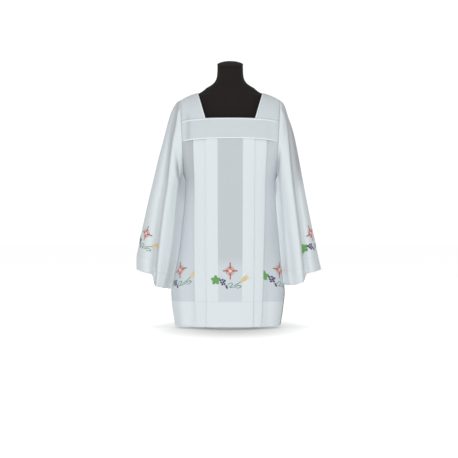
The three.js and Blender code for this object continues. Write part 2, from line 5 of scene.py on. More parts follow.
import bmesh
import bpy
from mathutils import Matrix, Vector


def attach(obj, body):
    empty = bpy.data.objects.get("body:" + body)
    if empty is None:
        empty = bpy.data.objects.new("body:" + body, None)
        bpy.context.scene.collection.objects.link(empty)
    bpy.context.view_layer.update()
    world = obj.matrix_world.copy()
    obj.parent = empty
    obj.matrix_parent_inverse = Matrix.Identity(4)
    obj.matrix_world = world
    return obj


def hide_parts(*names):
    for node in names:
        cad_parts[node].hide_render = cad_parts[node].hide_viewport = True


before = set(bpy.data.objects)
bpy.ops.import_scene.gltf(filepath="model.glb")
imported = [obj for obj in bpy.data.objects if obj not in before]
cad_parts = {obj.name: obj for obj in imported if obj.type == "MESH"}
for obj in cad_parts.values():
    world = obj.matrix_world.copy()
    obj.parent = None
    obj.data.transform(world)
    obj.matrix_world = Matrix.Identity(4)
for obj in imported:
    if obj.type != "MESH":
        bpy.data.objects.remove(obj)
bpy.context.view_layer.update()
mm = 0.001  # the tables below are in millimetres, the meshes in metres
dice = random.Random(7)
waveUnit = 0.314  # a wave texture of this scale repeats once in a metre
print("surplice: frame loaded")


# Colours and node trees

def linearColour(code):
    parts = [int(code[i:i + 2], 16) / 255 for i in (1, 3, 5)]
    return [p / 12.92 if p <= 0.04045 else ((p + 0.055) / 1.055) ** 2.4 for p in parts] + [1.0]


# Adds one shader node. An input is given by name or number, and its value is a socket or a constant.
def addNode(tree, kind, settings=None, inputs=None):
    node = tree.nodes.new("ShaderNode" + kind)
    for name, value in (settings or {}).items():
        setattr(node, name, value)
    for name, value in (inputs or {}).items():
        if isinstance(value, bpy.types.NodeSocket):
            tree.links.new(value, node.inputs[name])
        else:
            node.inputs[name].default_value = value
    return node


def newMaterial(name, constants):
    material = bpy.data.materials.new(name)
    material.use_nodes = True
    shader = material.node_tree.nodes["Principled BSDF"]
    for socket, value in constants.items():
        shader.inputs[socket].default_value = value
    return material, material.node_tree, shader


# Woven polyester crepe for vestments: cool white and matt with a soft sheen, and thin enough that one
# layer over the black form looks grey, while pleats and turned-up hems look whiter.
# The grey over the form is also painted as shade: in folds, creases, grooves and where the inside is dim.
crepe = {
    "oneLayer": "#cdd5da",
    "manyLayers": "#dbe3e6",
    "folded": "#e8eff1",  # the narrow tapes are folded four times
    "overFormAndShade": "#b3b8bc",
    "threads": "#b9c2c8",
    "yarnPitch": 0.0010,  # metres; the real yarns lie 0.25 mm apart, too fine to show
    "slubLength": 0.018,  # metres along the cloth; thick places in the yarn
    "slubWidth": 0.0012,
    "crumpleSize": 0.055,  # metres across one soft unevenness
    "stitchLength": 0.0030,  # metres; a 2.5 mm stitch and its gap, drawn 0.9 mm wide to show
    "stitchWidth": 0.0009,
    "stitchShare": 0.78,  # the rest is the gap
}


def crepeMaterial(name, hem=0.0, stitchLines=(), thick="manyLayers"):
    material, tree, shader = newMaterial(name, {
        "Roughness": 0.82, "Sheen Weight": 0.12, "Sheen Roughness": 0.5, "Specular IOR Level": 0.3,
    })
    layers = addNode(tree, "Attribute", {"attribute_name": "layers"}).outputs["Fac"]
    showAndShade = addNode(tree, "Attribute", {"attribute_name": "showThroughAndShade"}).outputs["Fac"]
    cut = addNode(tree, "UVMap", {"uv_map": "cut"}).outputs["UV"]
    axes = addNode(tree, "SeparateXYZ", inputs={0: cut}).outputs
    if hem:
        turned = addNode(tree, "Math", {"operation": "LESS_THAN"}, {0: axes["Y"], 1: hem})
        layers = addNode(tree, "Math", {"operation": "MAXIMUM"},
                         {0: layers, 1: turned.outputs[0]}).outputs[0]
    body = addNode(tree, "Mix", {"data_type": "RGBA"}, {
        0: layers, 6: linearColour(crepe["oneLayer"]), 7: linearColour(crepe[thick])})
    # One layer turns grey where the form shows through, and where shade is painted in folds, creases and the
    # dim inside.
    dark = addNode(tree, "Mix", {"data_type": "RGBA"}, {
        0: showAndShade, 6: body.outputs[2], 7: linearColour(crepe["overFormAndShade"])})

    # Slubs run along the warp, so the noise is stretched up the cloth.
    longWays = addNode(tree, "Mapping", inputs={
        "Vector": cut, "Scale": (1 / crepe["slubWidth"], 1 / crepe["slubLength"], 1)})
    slubs = addNode(tree, "TexNoise", inputs={
        "Vector": longWays.outputs[0], "Scale": 1.0, "Detail": 2.0})
    shade = addNode(tree, "MapRange", inputs={
        "Value": slubs.outputs["Fac"], "From Min": 0.3, "From Max": 0.7, "To Min": 0.975, "To Max": 1.02})
    colour = addNode(tree, "Mix", {"data_type": "RGBA", "blend_type": "MULTIPLY"}, {
        0: 1.0, 6: dark.outputs[2], 7: shade.outputs[0]})

    # Warp and weft, then the slubs and the soft unevenness of the hanging cloth.
    height = None
    for direction in ("X", "Y"):
        yarn = addNode(tree, "TexWave", {"bands_direction": direction}, {
            "Vector": cut, "Scale": waveUnit / crepe["yarnPitch"]}).outputs["Fac"]
        height = yarn if height is None else addNode(
            tree, "Math", {"operation": "MULTIPLY"}, {0: height, 1: yarn}).outputs[0]
    place = addNode(tree, "TexCoord").outputs["Object"]
    crumple = addNode(tree, "TexNoise", inputs={
        "Vector": place, "Scale": 1 / crepe["crumpleSize"], "Detail": 1.5})
    weave = addNode(tree, "Bump", inputs={
        "Strength": 0.18, "Distance": 0.0003, "Height": height})
    uneven = addNode(tree, "Bump", inputs={
        "Strength": 0.35, "Distance": 0.0035, "Height": crumple.outputs["Fac"],
        "Normal": weave.outputs[0]})
    normal, finish = uneven.outputs[0], colour.outputs[2]

    for line in stitchLines:
        near = addNode(tree, "Math", {"operation": "COMPARE"}, {
            0: axes["Y"], 1: line, 2: crepe["stitchWidth"] / 2})
        lengths = addNode(tree, "Math", {"operation": "DIVIDE"}, {
            0: axes["X"], 1: crepe["stitchLength"]})
        within = addNode(tree, "Math", {"operation": "FRACT"}, {0: lengths.outputs[0]})
        sewn = addNode(tree, "Math", {"operation": "LESS_THAN"}, {
            0: within.outputs[0], 1: crepe["stitchShare"]})
        stitch = addNode(tree, "Math", {"operation": "MULTIPLY"}, {
            0: near.outputs[0], 1: sewn.outputs[0]})
        finish = addNode(tree, "Mix", {"data_type": "RGBA"}, {
            0: stitch.outputs[0], 6: finish, 7: linearColour(crepe["threads"])}).outputs[2]
        normal = addNode(tree, "Bump", {"invert": True}, {
            "Strength": 0.4, "Distance": 0.0004, "Height": stitch.outputs[0],
            "Normal": normal}).outputs[0]
    tree.links.new(finish, shader.inputs["Base Color"])
    tree.links.new(normal, shader.inputs["Normal"])
    return material


# Embroidery rayon in satin stitch: glossy threads side by side, with a painted sheen brighter along each
# stitch and painted shade between stitches.
def threadMaterial(name, code):
    material, tree, shader = newMaterial(name, {
        "Roughness": 0.42, "Sheen Weight": 0.25, "Specular IOR Level": 0.5})
    cut = addNode(tree, "UVMap", {"uv_map": "cut"}).outputs["UV"]
    threads = addNode(tree, "TexWave", {"bands_direction": "X"}, {
        "Vector": cut, "Scale": waveUnit / 0.0007, "Distortion": 0.4})  # 0.4 mm threads drawn 0.7 mm apart
    patches = addNode(tree, "TexNoise", inputs={"Vector": cut, "Scale": 260.0})
    # Painted sheen along each stitch and painted shade between them.
    light = addNode(tree, "MapRange", inputs={
        "Value": threads.outputs["Fac"], "To Min": 0.82, "To Max": 1.08})
    stitched = addNode(tree, "Mix", {"data_type": "RGBA", "blend_type": "MULTIPLY"}, {
        0: 1.0, 6: linearColour(code), 7: light.outputs[0]})
    worn = addNode(tree, "Mix", {"data_type": "RGBA", "blend_type": "OVERLAY"}, {
        0: 0.35, 6: stitched.outputs[2], 7: patches.outputs["Fac"]})
    bump = addNode(tree, "Bump", inputs={
        "Strength": 0.5, "Distance": 0.0003, "Height": threads.outputs["Fac"]})
    tree.links.new(worn.outputs[2], shader.inputs["Base Color"])
    tree.links.new(bump.outputs[0], shader.inputs["Normal"])
    return material


# Knitted cotton jersey stretched over the form: deep warm black, quite matt, with fine vertical ribs.
def jerseyMaterial():
    material, tree, shader = newMaterial("black_cotton_jersey", {
        "Roughness": 0.9, "Sheen Weight": 0.04, "Specular IOR Level": 0.15})
    cut = addNode(tree, "UVMap", {"uv_map": "cut"}).outputs["UV"]
    ribs = addNode(tree, "TexWave", {"bands_direction": "X"}, {
        "Vector": cut, "Scale": waveUnit / 0.0014})  # 0.7 mm wales drawn twice as wide
    lint = addNode(tree, "TexNoise", inputs={"Vector": cut, "Scale": 900.0, "Detail": 3.0})
    patch = addNode(tree, "TexNoise", inputs={"Vector": cut, "Scale": 14.0})
    ramp = addNode(tree, "Mix", {"data_type": "RGBA"}, {
        0: patch.outputs["Fac"], 6: linearColour("#1e1a19"), 7: linearColour("#24201f")})
    fluff = addNode(tree, "MapRange", inputs={
        "Value": lint.outputs["Fac"], "From Min": 0.55, "From Max": 0.75, "To Min": 0.0, "To Max": 0.16})
    colour = addNode(tree, "Mix", {"data_type": "RGBA"}, {
        0: fluff.outputs[0], 6: ramp.outputs[2], 7: linearColour("#383332")})
    bump = addNode(tree, "Bump", inputs={
        "Strength": 0.3, "Distance": 0.0004, "Height": ribs.outputs["Fac"]})
    tree.links.new(colour.outputs[2], shader.inputs["Base Color"])
    tree.links.new(bump.outputs[0], shader.inputs["Normal"])
    return material


# Powder-coated steel of the stand: satin pale grey with a fine pebbled skin, scuffed a little darker.
def powderCoatMaterial():
    material, tree, shader = newMaterial("powder_coated_steel", {"Specular IOR Level": 0.5})
    place = addNode(tree, "TexCoord").outputs["Object"]
    pebbles = addNode(tree, "TexVoronoi", inputs={"Vector": place, "Scale": 1 / 0.0018})
    scuffs = addNode(tree, "TexNoise", inputs={"Vector": place, "Scale": 38.0, "Detail": 5.0})
    worn = addNode(tree, "MapRange", inputs={
        "Value": scuffs.outputs["Fac"], "From Min": 0.5, "From Max": 0.72, "To Min": 0.0, "To Max": 0.5})
    colour = addNode(tree, "Mix", {"data_type": "RGBA"}, {
        0: worn.outputs[0], 6: linearColour("#b4b6b8"), 7: linearColour("#9a9c9e")})
    rough = addNode(tree, "MapRange", inputs={
        "Value": scuffs.outputs["Fac"], "To Min": 0.38, "To Max": 0.58})
    bump = addNode(tree, "Bump", inputs={
        "Strength": 0.25, "Distance": 0.0002, "Height": pebbles.outputs["Distance"]})
    tree.links.new(colour.outputs[2], shader.inputs["Base Color"])
    tree.links.new(rough.outputs[0], shader.inputs["Roughness"])
    tree.links.new(bump.outputs[0], shader.inputs["Normal"])
    return material


skirtCrepe = crepeMaterial("polyester_crepe_skirt", hem=0.1015, stitchLines=(0.1000,))
sleeveCrepe = crepeMaterial("polyester_crepe_sleeve", hem=0.0585, stitchLines=(0.0570,))
plainCrepe = crepeMaterial("polyester_crepe_yoke")
tapeCrepe = crepeMaterial("polyester_crepe_tape", stitchLines=(0.0012, 0.0058), thick="folded")
jersey = jerseyMaterial()
powderCoat = powderCoatMaterial()
print("surplice: materials made")


# Curves through tables

# A smooth step from p to q at the share f, with the slopes m and n at its ends.
def hermite(p, q, m, n, f):
    f2, f3 = f * f, f * f * f
    return (2 * f3 - 3 * f2 + 1) * p + (f3 - 2 * f2 + f) * m + (3 * f2 - 2 * f3) * q + (f3 - f2) * n


# Value of one column where the first column is `at`, on a smooth curve through the rows.
def lookUp(rows, column, at):
    last = len(rows) - 1
    i = 0
    while i < last - 1 and at > rows[i + 1][0]:
        i += 1

    def slope(k):
        return (rows[k + 1][column] - rows[k][column]) / (rows[k + 1][0] - rows[k][0])

    def tangent(k):
        if k in (0, last):
            return slope(min(k, last - 1))
        a, b = slope(k - 1), slope(k)
        return 0.0 if a * b <= 0 else 2 * a * b / (a + b)

    span = rows[i + 1][0] - rows[i][0]
    f = min(1.0, max(0.0, (at - rows[i][0]) / span))
    return hermite(rows[i][column], rows[i + 1][column], tangent(i) * span, tangent(i + 1) * span, f)


def smoothStep(at, low, high):
    f = min(1.0, max(0.0, (at - low) / (high - low)))
    return f * f * (3 - 2 * f)


def bump(at, centre, width):
    return math.exp(-((at - centre) / width) ** 2)


def spread(start, end, count):
    return [start + (end - start) * i / (count - 1) for i in range(count)]


# The worn shape that every piece of cloth follows, the same as the model's

worn = {"chest": 747, "ridge": 947, "ridgeDrop": 39, "ridgePower": 3.4, "underarm": 586,
        "armholeTop": (199, 908), "armholeFoot": (183, 586), "hem": 9, "seamBend": 3}
yoke = {
    "front": {"upper": 832, "lower": 751, "fall": 12, "neckFoot": 98, "neckTop": 129, "y": -1},
    "back": {"upper": 856, "lower": 751, "fall": 12, "neckFoot": 108, "neckTop": 129, "y": 1},
}
# Height, half width left and right, depth front and back, squareness.
bodyRows = [
    (4, 218, 198, 148, 142, 2.7), (60, 227, 208, 147, 141, 2.7), (110, 233, 214, 146, 140, 2.7),
    (140, 235, 217, 145, 139, 2.7), (200, 226, 212, 143, 137, 2.75), (300, 207, 202, 139, 133, 2.8),
    (400, 196, 194, 135, 129, 2.9), (500, 187, 187, 131, 125, 3), (586, 183, 183, 128, 121.5, 3.15),
    (600, 184.2, 184.2, 127.5, 121, 3.2), (650, 192, 192, 126, 120, 3.4), (700, 203, 203, 124, 119, 3.7),
    (747, 212.8, 212.8, 122, 118, 4), (770, 212.8, 212.8, 122, 118, 4),
]


# A rounded square of half size 1: its height over a share of its width.
def arc(share, power):
    return (1 - share ** power) ** (1 / power)


def ovalRadius(s, c, width, depth, power):
    return ((s / width) ** power + (c / depth) ** power) ** (-1 / power)


def bodyDepth(z, face):
    return lookUp(bodyRows, 3 if face == "front" else 4, z)


def ridge(x):
    return worn["ridge"] - worn["ridgeDrop"] * (abs(x) / worn["armholeTop"][0]) ** worn["ridgePower"]


def archDepth(x, face):
    width, depth, power = bodyRows[-1][1], bodyRows[-1][3 if face == "front" else 4], bodyRows[-1][5]
    return depth * arc(abs(x) / width, power)


def armholeX(z):
    (topX, topZ), (footX, footZ) = worn["armholeTop"], worn["armholeFoot"]
    return footX + (topX - footX) * (z - footZ) / (topZ - footZ)


def halfWidth(z, side):
    return lookUp(bodyRows, 1 if side < 0 else 2, z)


def surfacePoint(x, z, face):
    if z >= worn["chest"]:
        rise = (z - worn["chest"]) / (ridge(x) - worn["chest"])
        return Vector((x, yoke[face]["y"] * archDepth(x, face) * math.sqrt(max(0.0, 1 - rise * rise)), z))
    share = min(1.0, abs(x) / halfWidth(z, x))
    return Vector((x, yoke[face]["y"] * bodyDepth(z, face) * arc(share, lookUp(bodyRows, 5, z)), z))


def seamHeight(face, edge, share):
    return yoke[face][edge] - yoke[face]["fall"] * abs(share) ** worn["seamBend"]


# How far from the centre the neckline runs at a height.
def neckAt(z, facts):
    climb = (facts["neckTop"] - facts["neckFoot"]) * (z - facts["upper"])
    return facts["neckFoot"] + climb / (ridge(facts["neckTop"]) - facts["upper"])


quarters = {}
quarterSteps = 160


# One quarter of the level section: distances along it from the centre, with their points.
def quarter(z, side, face):
    key = (round(z, 2), side, face)
    if key not in quarters:
        power, width, depth = lookUp(bodyRows, 5, z), halfWidth(z, side), bodyDepth(z, face)
        lengths, points = [], []
        for i in range(quarterSteps + 1):
            angle = math.pi / 2 * i / quarterSteps
            s, c = math.sin(angle), max(0.0, math.cos(angle))
            radius = ovalRadius(s, c, width, depth, power)
            points.append((radius * s, radius * c))
            lengths.append(lengths[-1] + math.dist(points[-1], points[-2]) if i else 0.0)
        quarters[key] = (lengths, points, width, depth, power)
    return quarters[key]


# Point of the section at a signed distance from the centre, moved inwards by a depth.
def sectionPoint(z, along, inward, face):
    side = -1 if along < 0 else 1
    lengths, points, width, depth, power = quarter(z, side, face)
    target = min(abs(along), lengths[-1])
    i = min(max(1, bisect.bisect_left(lengths, target)), len(lengths) - 1)
    f = (target - lengths[i - 1]) / (lengths[i] - lengths[i - 1])
    x = points[i - 1][0] + (points[i][0] - points[i - 1][0]) * f
    y = points[i - 1][1] + (points[i][1] - points[i - 1][1]) * f
    outX, outY = (x / width) ** (power - 1) / width, (y / depth) ** (power - 1) / depth
    size = math.hypot(outX, outY)
    front = yoke[face]["y"]
    return Vector(((x - outX / size * inward) * side, (y - outY / size * inward) * front, z))


# Distance along the section to the panel's edge: the armhole, or the side seam below it.
def sideEdge(z, side, face):
    lengths, points = quarter(z, side, face)[:2]
    if z <= worn["underarm"]:
        return lengths[-1]
    limit = armholeX(z)
    for i in range(1, len(points)):
        if points[i][0] > limit:
            f = (limit - points[i - 1][0]) / (points[i][0] - points[i - 1][0])
            return lengths[i - 1] + (lengths[i] - lengths[i - 1]) * f
    return lengths[-1]


# Cloth: a grid of points with its normals and its distances across and up the cut

def clothFrom(points, check, around=False):
    rows, columns = len(points), len(points[0])
    wrap = columns - 1

    def beside(r, c, by):
        return points[r][(c + by) % wrap] if around else points[r][min(max(c + by, 0), columns - 1)]

    normals = []
    for r in range(rows):
        line = []
        for c in range(columns):
            down = points[min(r + 1, rows - 1)][c] - points[max(r - 1, 0)][c]
            across = beside(r, c, 1) - beside(r, c, -1)
            line.append(down.cross(across).normalized())
        normals.append(line)
    checkRow, checkColumn, outward = check
    if normals[checkRow][checkColumn].dot(Vector(outward)) < 0:
        normals = [[-n for n in line] for line in normals]
    along = []
    for r in range(rows):
        line = [0.0]
        for c in range(1, columns):
            line.append(line[-1] + (points[r][c] - points[r][c - 1]).length)
        middle = 0.0 if around else line[columns // 2]
        along.append([a - middle for a in line])
    up = [[0.0] * columns for _ in range(rows)]
    for r in range(rows - 2, -1, -1):
        for c in range(columns):
            up[r][c] = up[r + 1][c] + (points[r][c] - points[r + 1][c]).length
    return {"points": points, "normals": normals, "along": along, "up": up, "around": around}


# Rows of a hem turned up inside the cloth, each behind the row that it faces.
def turnUp(cloth, height, gap):
    points, normals, up = cloth["points"], cloth["normals"], cloth["up"]
    last = len(points) - 1
    middle = len(points[0]) // 2
    inside = []
    for r in range(last, 0, -1):
        if up[r][middle] > height:
            break
        inside.append([p - n * gap for p, n in zip(points[r], normals[r])])
        cloth["up"].append(up[r])
        cloth["along"].append(cloth["along"][r])
    cloth["outerRows"] = last + 1
    cloth["points"] = points + inside
    return cloth


def makeObject(name, bm, materials):
    mesh = bpy.data.meshes.new(name)
    bm.to_mesh(mesh)
    bm.free()
    for material in materials:
        mesh.materials.append(material)
    piece = bpy.data.objects.new(name, mesh)
    bpy.context.scene.collection.objects.link(piece)
    return piece


# Sews a cloth's grid into an object. `marks` gives layers, and how much shows through with painted shade
# added, for a row and a column.
def sewPiece(name, cloth, material, marks, wall=0.7, offset=-1.0):
    points = cloth["points"]
    rows, columns = len(points), len(points[0])
    bm = bmesh.new()
    bmesh.ops.create_grid(bm, x_segments=columns - 1, y_segments=rows - 1, size=0.5)
    cut = bm.loops.layers.uv.new("cut")
    layers = bm.verts.layers.float.new("layers")
    showAndShade = bm.verts.layers.float.new("showThroughAndShade")
    spots = {v: (round((v.co.y + 0.5) * (rows - 1)), round((v.co.x + 0.5) * (columns - 1)))
             for v in bm.verts}
    for vert, (r, c) in spots.items():
        vert.co = points[r][c] * mm
        vert[layers], vert[showAndShade] = marks(r, c)
    for face in bm.faces:
        face.smooth = True
        for loop in face.loops:
            r, c = spots[loop.vert]
            loop[cut].uv = (cloth["along"][r][c] * mm, cloth["up"][r][c] * mm)
    bm.normal_update()
    r, c = rows // 3, columns // 4
    probe = next(v for v, spot in spots.items() if spot == (r, c))
    if probe.normal.dot(cloth["normals"][r][c]) < 0:
        bmesh.ops.reverse_faces(bm, faces=bm.faces)
    if cloth["around"]:
        bmesh.ops.remove_doubles(bm, verts=bm.verts, dist=1e-6)
    piece = makeObject(name, bm, [material])
    if wall:
        solid = piece.modifiers.new("wall", "SOLIDIFY")
        solid.thickness = wall * mm
        solid.offset = offset
        solid.use_even_offset = False
    return piece


def placeOnFrame(piece, node):
    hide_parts(node)
    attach(piece, "root")


def wearCloth(piece, node):
    placeOnFrame(piece, node)


# Skirt: two panels, each with two knife pleats on either side of the centre

pleats = {
    # Height, fold edges left and right, inner edge and spacing of the layers.
    "rows": [
        (4, 93, 139, 90.5, 127.5, 46, 3.6), (270, 94.5, 146.5, 93.5, 136, 48, 3),
        (500, 96.5, 148, 96, 143, 49, 2.3), (760, 98, 148, 97.5, 147, 50, 1.7),
    ],
    "wall": 0.7, "face": 0.5, "foldSteps": 6, "sideSteps": 24, "hemHeight": 99, "hemGap": 1.0,
    # Waves of the hanging front: size, place and width. Two are at the hem alone, and one goes further up.
    "sway": {-1: [(4.0, -205, 26), (-4.0, -172, 14), (1.2, -116, 18)],
             1: [(3.4, 196, 24), (-3.4, 160, 13), (1.0, 112, 16)]},
    # How much of what is behind one layer shows through it, with painted shade where the inside is dim, the
    # two sides painted differently: height, left and right. Then the centre, and the painted shadow beside
    # the outer fold edge.
    "showAndShade": [(110, 0.0, 0.06), (200, 0.0, 0.08), (350, 0.03, 0.22), (510, 0.2, 0.1), (640, 0.8, 0.25),
             (747, 0.75, 0.3)],
    "centre": 60, "centreShow": 0.46, "centreRise": (232, 292), "foldShadow": 0.3,
    "cut": {"front": (0.96, 0.845), "back": (0.95, 0.845)},
}


# One half of a level row: distance from the centre, depth, layers, and how deep in the painted shadow beside
# a fold's edge.
def pleatPath(z, side, face):
    first = lookUp(pleats["rows"], 1 if side < 0 else 3, z)
    second = lookUp(pleats["rows"], 2 if side < 0 else 4, z)
    inner, step = lookUp(pleats["rows"], 5, z), lookUp(pleats["rows"], 6, z)
    turn = step / 2
    hidden = first + 2 * turn
    edge = sideEdge(z, side, face)
    path = []

    def level(n):
        return pleats["face"] + n * step

    def run(start, end, n, count, layers):
        path.extend((at, level(n), layers, 0.0) for at in spread(start, end, count))

    def fold(end, n, outwards):
        for i in range(1, pleats["foldSteps"]):
            angle = math.pi * i / pleats["foldSteps"]
            at = end - outwards * turn * (1 - math.sin(angle))
            path.append((at, level(n) + turn * (1 - math.cos(angle)), 1.0, 0.0))

    run(0, inner - 1, 0, 9, 0.0)
    run(inner + 1, first - turn, 0, 8, 1.0)
    fold(first, 0, 1)
    run(first - turn, inner + turn, 1, 5, 1.0)
    fold(inner, 1, -1)
    run(inner + turn, second - turn, 2, 14, 1.0)
    fold(second, 2, 1)
    run(second - turn, hidden + turn, 3, 4, 1.0)
    fold(hidden, 3, -1)
    run(hidden + turn, second - 2, 4, 5, 1.0)
    for share in spread(0, 1, pleats["sideSteps"]):
        ease = smoothStep(share, 0, 1)
        at = second + (edge - second) * share
        path.append((at, level(4) * (1 - ease) + level(0) * ease, 0.0, 1 - smoothStep(at - second, 2, 7)))
    return path


# Soft waves that the hanging panel takes, the same through all the layers at one place.
def sway(at, z, side, face):
    low, hem = smoothStep(600 - z, 0, 520), smoothStep(300 - z, 0, 150)
    if face == "back":
        return low * (2.2 * math.sin(at / 41 + 1.1))
    ripple = 1.6 * hem * math.sin(at / 17 + 0.7) * smoothStep(abs(at), 150, 210)
    out, back, inner = (size * bump(at, centre, width) for size, centre, width in pleats["sway"][side])
    return low * (ripple + (hem * (out + back) + inner))


def skirtRow(heightAt, face):
    reach = sideEdge(worn["chest"], 1, face)
    line = []
    for side in (-1, 1):
        rough = pleatPath(heightAt(0), side, face)
        half = []
        for i, (roughAt, _, layers, fold) in enumerate(rough):
            z = heightAt(min(1.0, roughAt / reach))
            at, depth = pleatPath(z, side, face)[i][:2]
            half.append((sectionPoint(z, at * side, depth - sway(at * side, z, side, face), face),
                         at * side, layers, fold))
        line += half[::-1] if side < 0 else half[1:]
    return line


# How much of the form shows through one layer of the skirt, plus painted shade where the inside is dim and a
# painted shadow beside the outer fold edge.
def skirtShowAndShade(at, z, layers, fold):
    if layers > 0.5:
        return 0.0
    if abs(at) < pleats["centre"]:
        return pleats["centreShow"] * smoothStep(z, *pleats["centreRise"])
    return min(1.0, lookUp(pleats["showAndShade"], 1 if at < 0 else 2, z) + pleats["foldShadow"] * fold)


def skirtPanel(face):
    heights = [lambda share, f=f: (seamHeight(face, "lower", share) - 0.1) * (1 - f) + 722 * f
               for f in spread(0, 1, 6)]
    # The rows lie close at the hem's stitching, and end at the hem.
    levels = spread(714, 111.5, 76) + [110.4, 109.6] + spread(101, worn["hem"], 12)
    heights += [lambda share, z=z: z for z in levels]
    lines = [skirtRow(heightAt, face) for heightAt in heights]
    points = [[spot[0] for spot in line] for line in lines]
    cloth = clothFrom(points, (20, len(points[0]) // 2, (0, yoke[face]["y"], 0)))
    marks = [[(layers, skirtShowAndShade(at, p.z, layers, fold)) for p, at, layers, fold in line] for line in lines]
    outer = len(marks)
    cloth = turnUp(cloth, pleats["hemHeight"], pleats["hemGap"])
    piece = sewPiece("cloth_skirt_" + face, cloth, skirtCrepe,
                     lambda r, c: marks[r][c] if r < outer else (1.0, 0.0), pleats["wall"], 0.0)
    return piece, cloth


skirts = {face: skirtPanel(face) for face in ("front", "back")}
print("surplice: skirt panels sewn")


# Yokes, their tapes and the shoulder pieces

trim = {"yokeColumns": 81, "yokeRows": 15, "strapTurns": 41, "strapShares": 19, "wall": 0.9,
        "tapeWidth": 7, "tapeShort": 2.5, "tapeLift": 0.3, "tapeWall": 0.9, "bindingWidth": 6,
        "layers": 0.4,  # how white the yoke and shoulders are, from one layer of cloth to a pleat
        "formEdge": (150, 178),  # where the form ends and the cloth begins to hang clear of it
        # Painted shade in a shallow hollow at the front's left edge: how dark, where and how wide; then the
        # height above which it fades out.
        "hollowShade": (0.55, -166, 9), "hollowFade": (860, 40)}


def bandPoints(face, heights, shortBy=0.0):
    rows = []
    for heightAt in heights:
        row = []
        for share in spread(-1, 1, trim["yokeColumns"]):
            z = heightAt(share)
            row.append(surfacePoint(share * (armholeX(z) - shortBy), z, face))
        rows.append(row)
    return rows


# How much of the form shows through the yoke and shoulders, plus the painted shade in the hollow.
def upperShowAndShade(p, strength):
    (dark, centre, width), (top, fade) = trim["hollowShade"], trim["hollowFade"]
    hollowShade = dark * bump(p.x, centre, width) * smoothStep(top - p.z, 0, fade) if p.y < 0 else 0.0
    return strength * (1 - smoothStep(abs(p.x), *trim["formEdge"])) + hollowShade


def yokeBand(face):
    def heightAt(f):
        return lambda share: (seamHeight(face, "lower", share) * (1 - f)
                              + (seamHeight(face, "upper", share) - 0.1) * f)
    points = bandPoints(face, [heightAt(f) for f in spread(1, 0, trim["yokeRows"])])
    cloth = clothFrom(points, (7, 40, (0, yoke[face]["y"], 0)))
    piece = sewPiece("cloth_yoke_" + face, cloth, plainCrepe,
                     lambda r, c: (trim["layers"], 0.04 + upperShowAndShade(points[r][c], 0.2)), trim["wall"])
    return piece


# A flat strip stitched over a seam: crowned across its width, with a wall of its own.
def stripPiece(name, base, node, check):
    cloth = clothFrom(base, check)
    crown = [0.0, 0.75, 1.0, 1.0, 0.75, 0.0]
    lifted = [[p + n * (trim["tapeLift"] + 0.35 + 0.65 * crown[r]) for p, n in zip(row, normals)]
              for r, (row, normals) in enumerate(zip(base, cloth["normals"]))]
    cloth = clothFrom(lifted, check)
    piece = sewPiece(name, cloth, tapeCrepe, lambda r, c: (1.0, 0.0), trim["tapeWall"])
    placeOnFrame(piece, node)
    return piece


def yokeTape(face, edge, above):
    heights = [lambda share, up=up: seamHeight(face, edge, share) + above + up
               for up in spread(trim["tapeWidth"], 0, 6)]
    points = bandPoints(face, heights, trim["tapeShort"])
    return stripPiece("tape_%s_%s" % (edge, face), points, "yoke_tape_%s_%s" % (edge, face),
                      (2, 40, (0, yoke[face]["y"], 0)))


# Turn 0 is the front seam and 1 the back one; share 0 is the neckline and 1 the armhole.
def strapPoint(side, turn, share):
    face = "front" if turn < 0.5 else "back"
    facts = yoke[face]
    z, x = (facts["upper"] + worn["ridge"]) / 2, 150.0
    for _ in range(12):
        neck = neckAt(z, facts)
        x = neck + (armholeX(z) - neck) * share
        rise = ridge(x) - worn["chest"]
        foot = math.asin((seamHeight(face, "upper", x / armholeX(z)) - worn["chest"]) / rise)
        angle = foot + (math.pi / 2 - foot) * (1 - abs(1 - 2 * turn))
        z = worn["chest"] + rise * math.sin(angle)
    point = surfacePoint(x, min(z, ridge(x)), face)
    return Vector((point.x * side, point.y, point.z))


def shoulderPiece(side, name):
    turns, shares = spread(0, 1, trim["strapTurns"]), spread(0, 1, trim["strapShares"])
    points = [[strapPoint(side, turn, share) for share in shares] for turn in turns]
    cloth = clothFrom(points, (20, 9, (0, 0, 1)))
    piece = sewPiece("cloth_" + name, cloth, plainCrepe,
                     lambda r, c: (trim["layers"], 0.02 + upperShowAndShade(points[r][c], 0.12)), trim["wall"])
    base = []
    for width in spread(0, trim["bindingWidth"], 6):
        row = []
        for turn in turns:
            p, q = strapPoint(side, turn, 0), strapPoint(side, turn, 0.12)
            row.append(p + (q - p).normalized() * width)
        base.append(row)
    binding = stripPiece("binding_" + name, base, "neck_binding_" + name.split("_")[1], (2, 20, (0, 0, 1)))
    return piece, binding


for face, flat, area in (("front", (0.405, 0.083), 0.033), ("back", (0.405, 0.108), 0.0431)):
    tapes = [yokeTape(face, "lower", 2 - trim["tapeWidth"] / 2),
             yokeTape(face, "upper", -trim["tapeWidth"] - 0.35)]
    wearCloth(yokeBand(face), "yoke_" + face)
for side, name in ((-1, "shoulder_left"), (1, "shoulder_right")):
    piece, binding = shoulderPiece(side, name)
    wearCloth(piece, name)
print("surplice: yokes and shoulders sewn")


# Sleeves: wide tubes whose front falls in two lobes with a valley between them

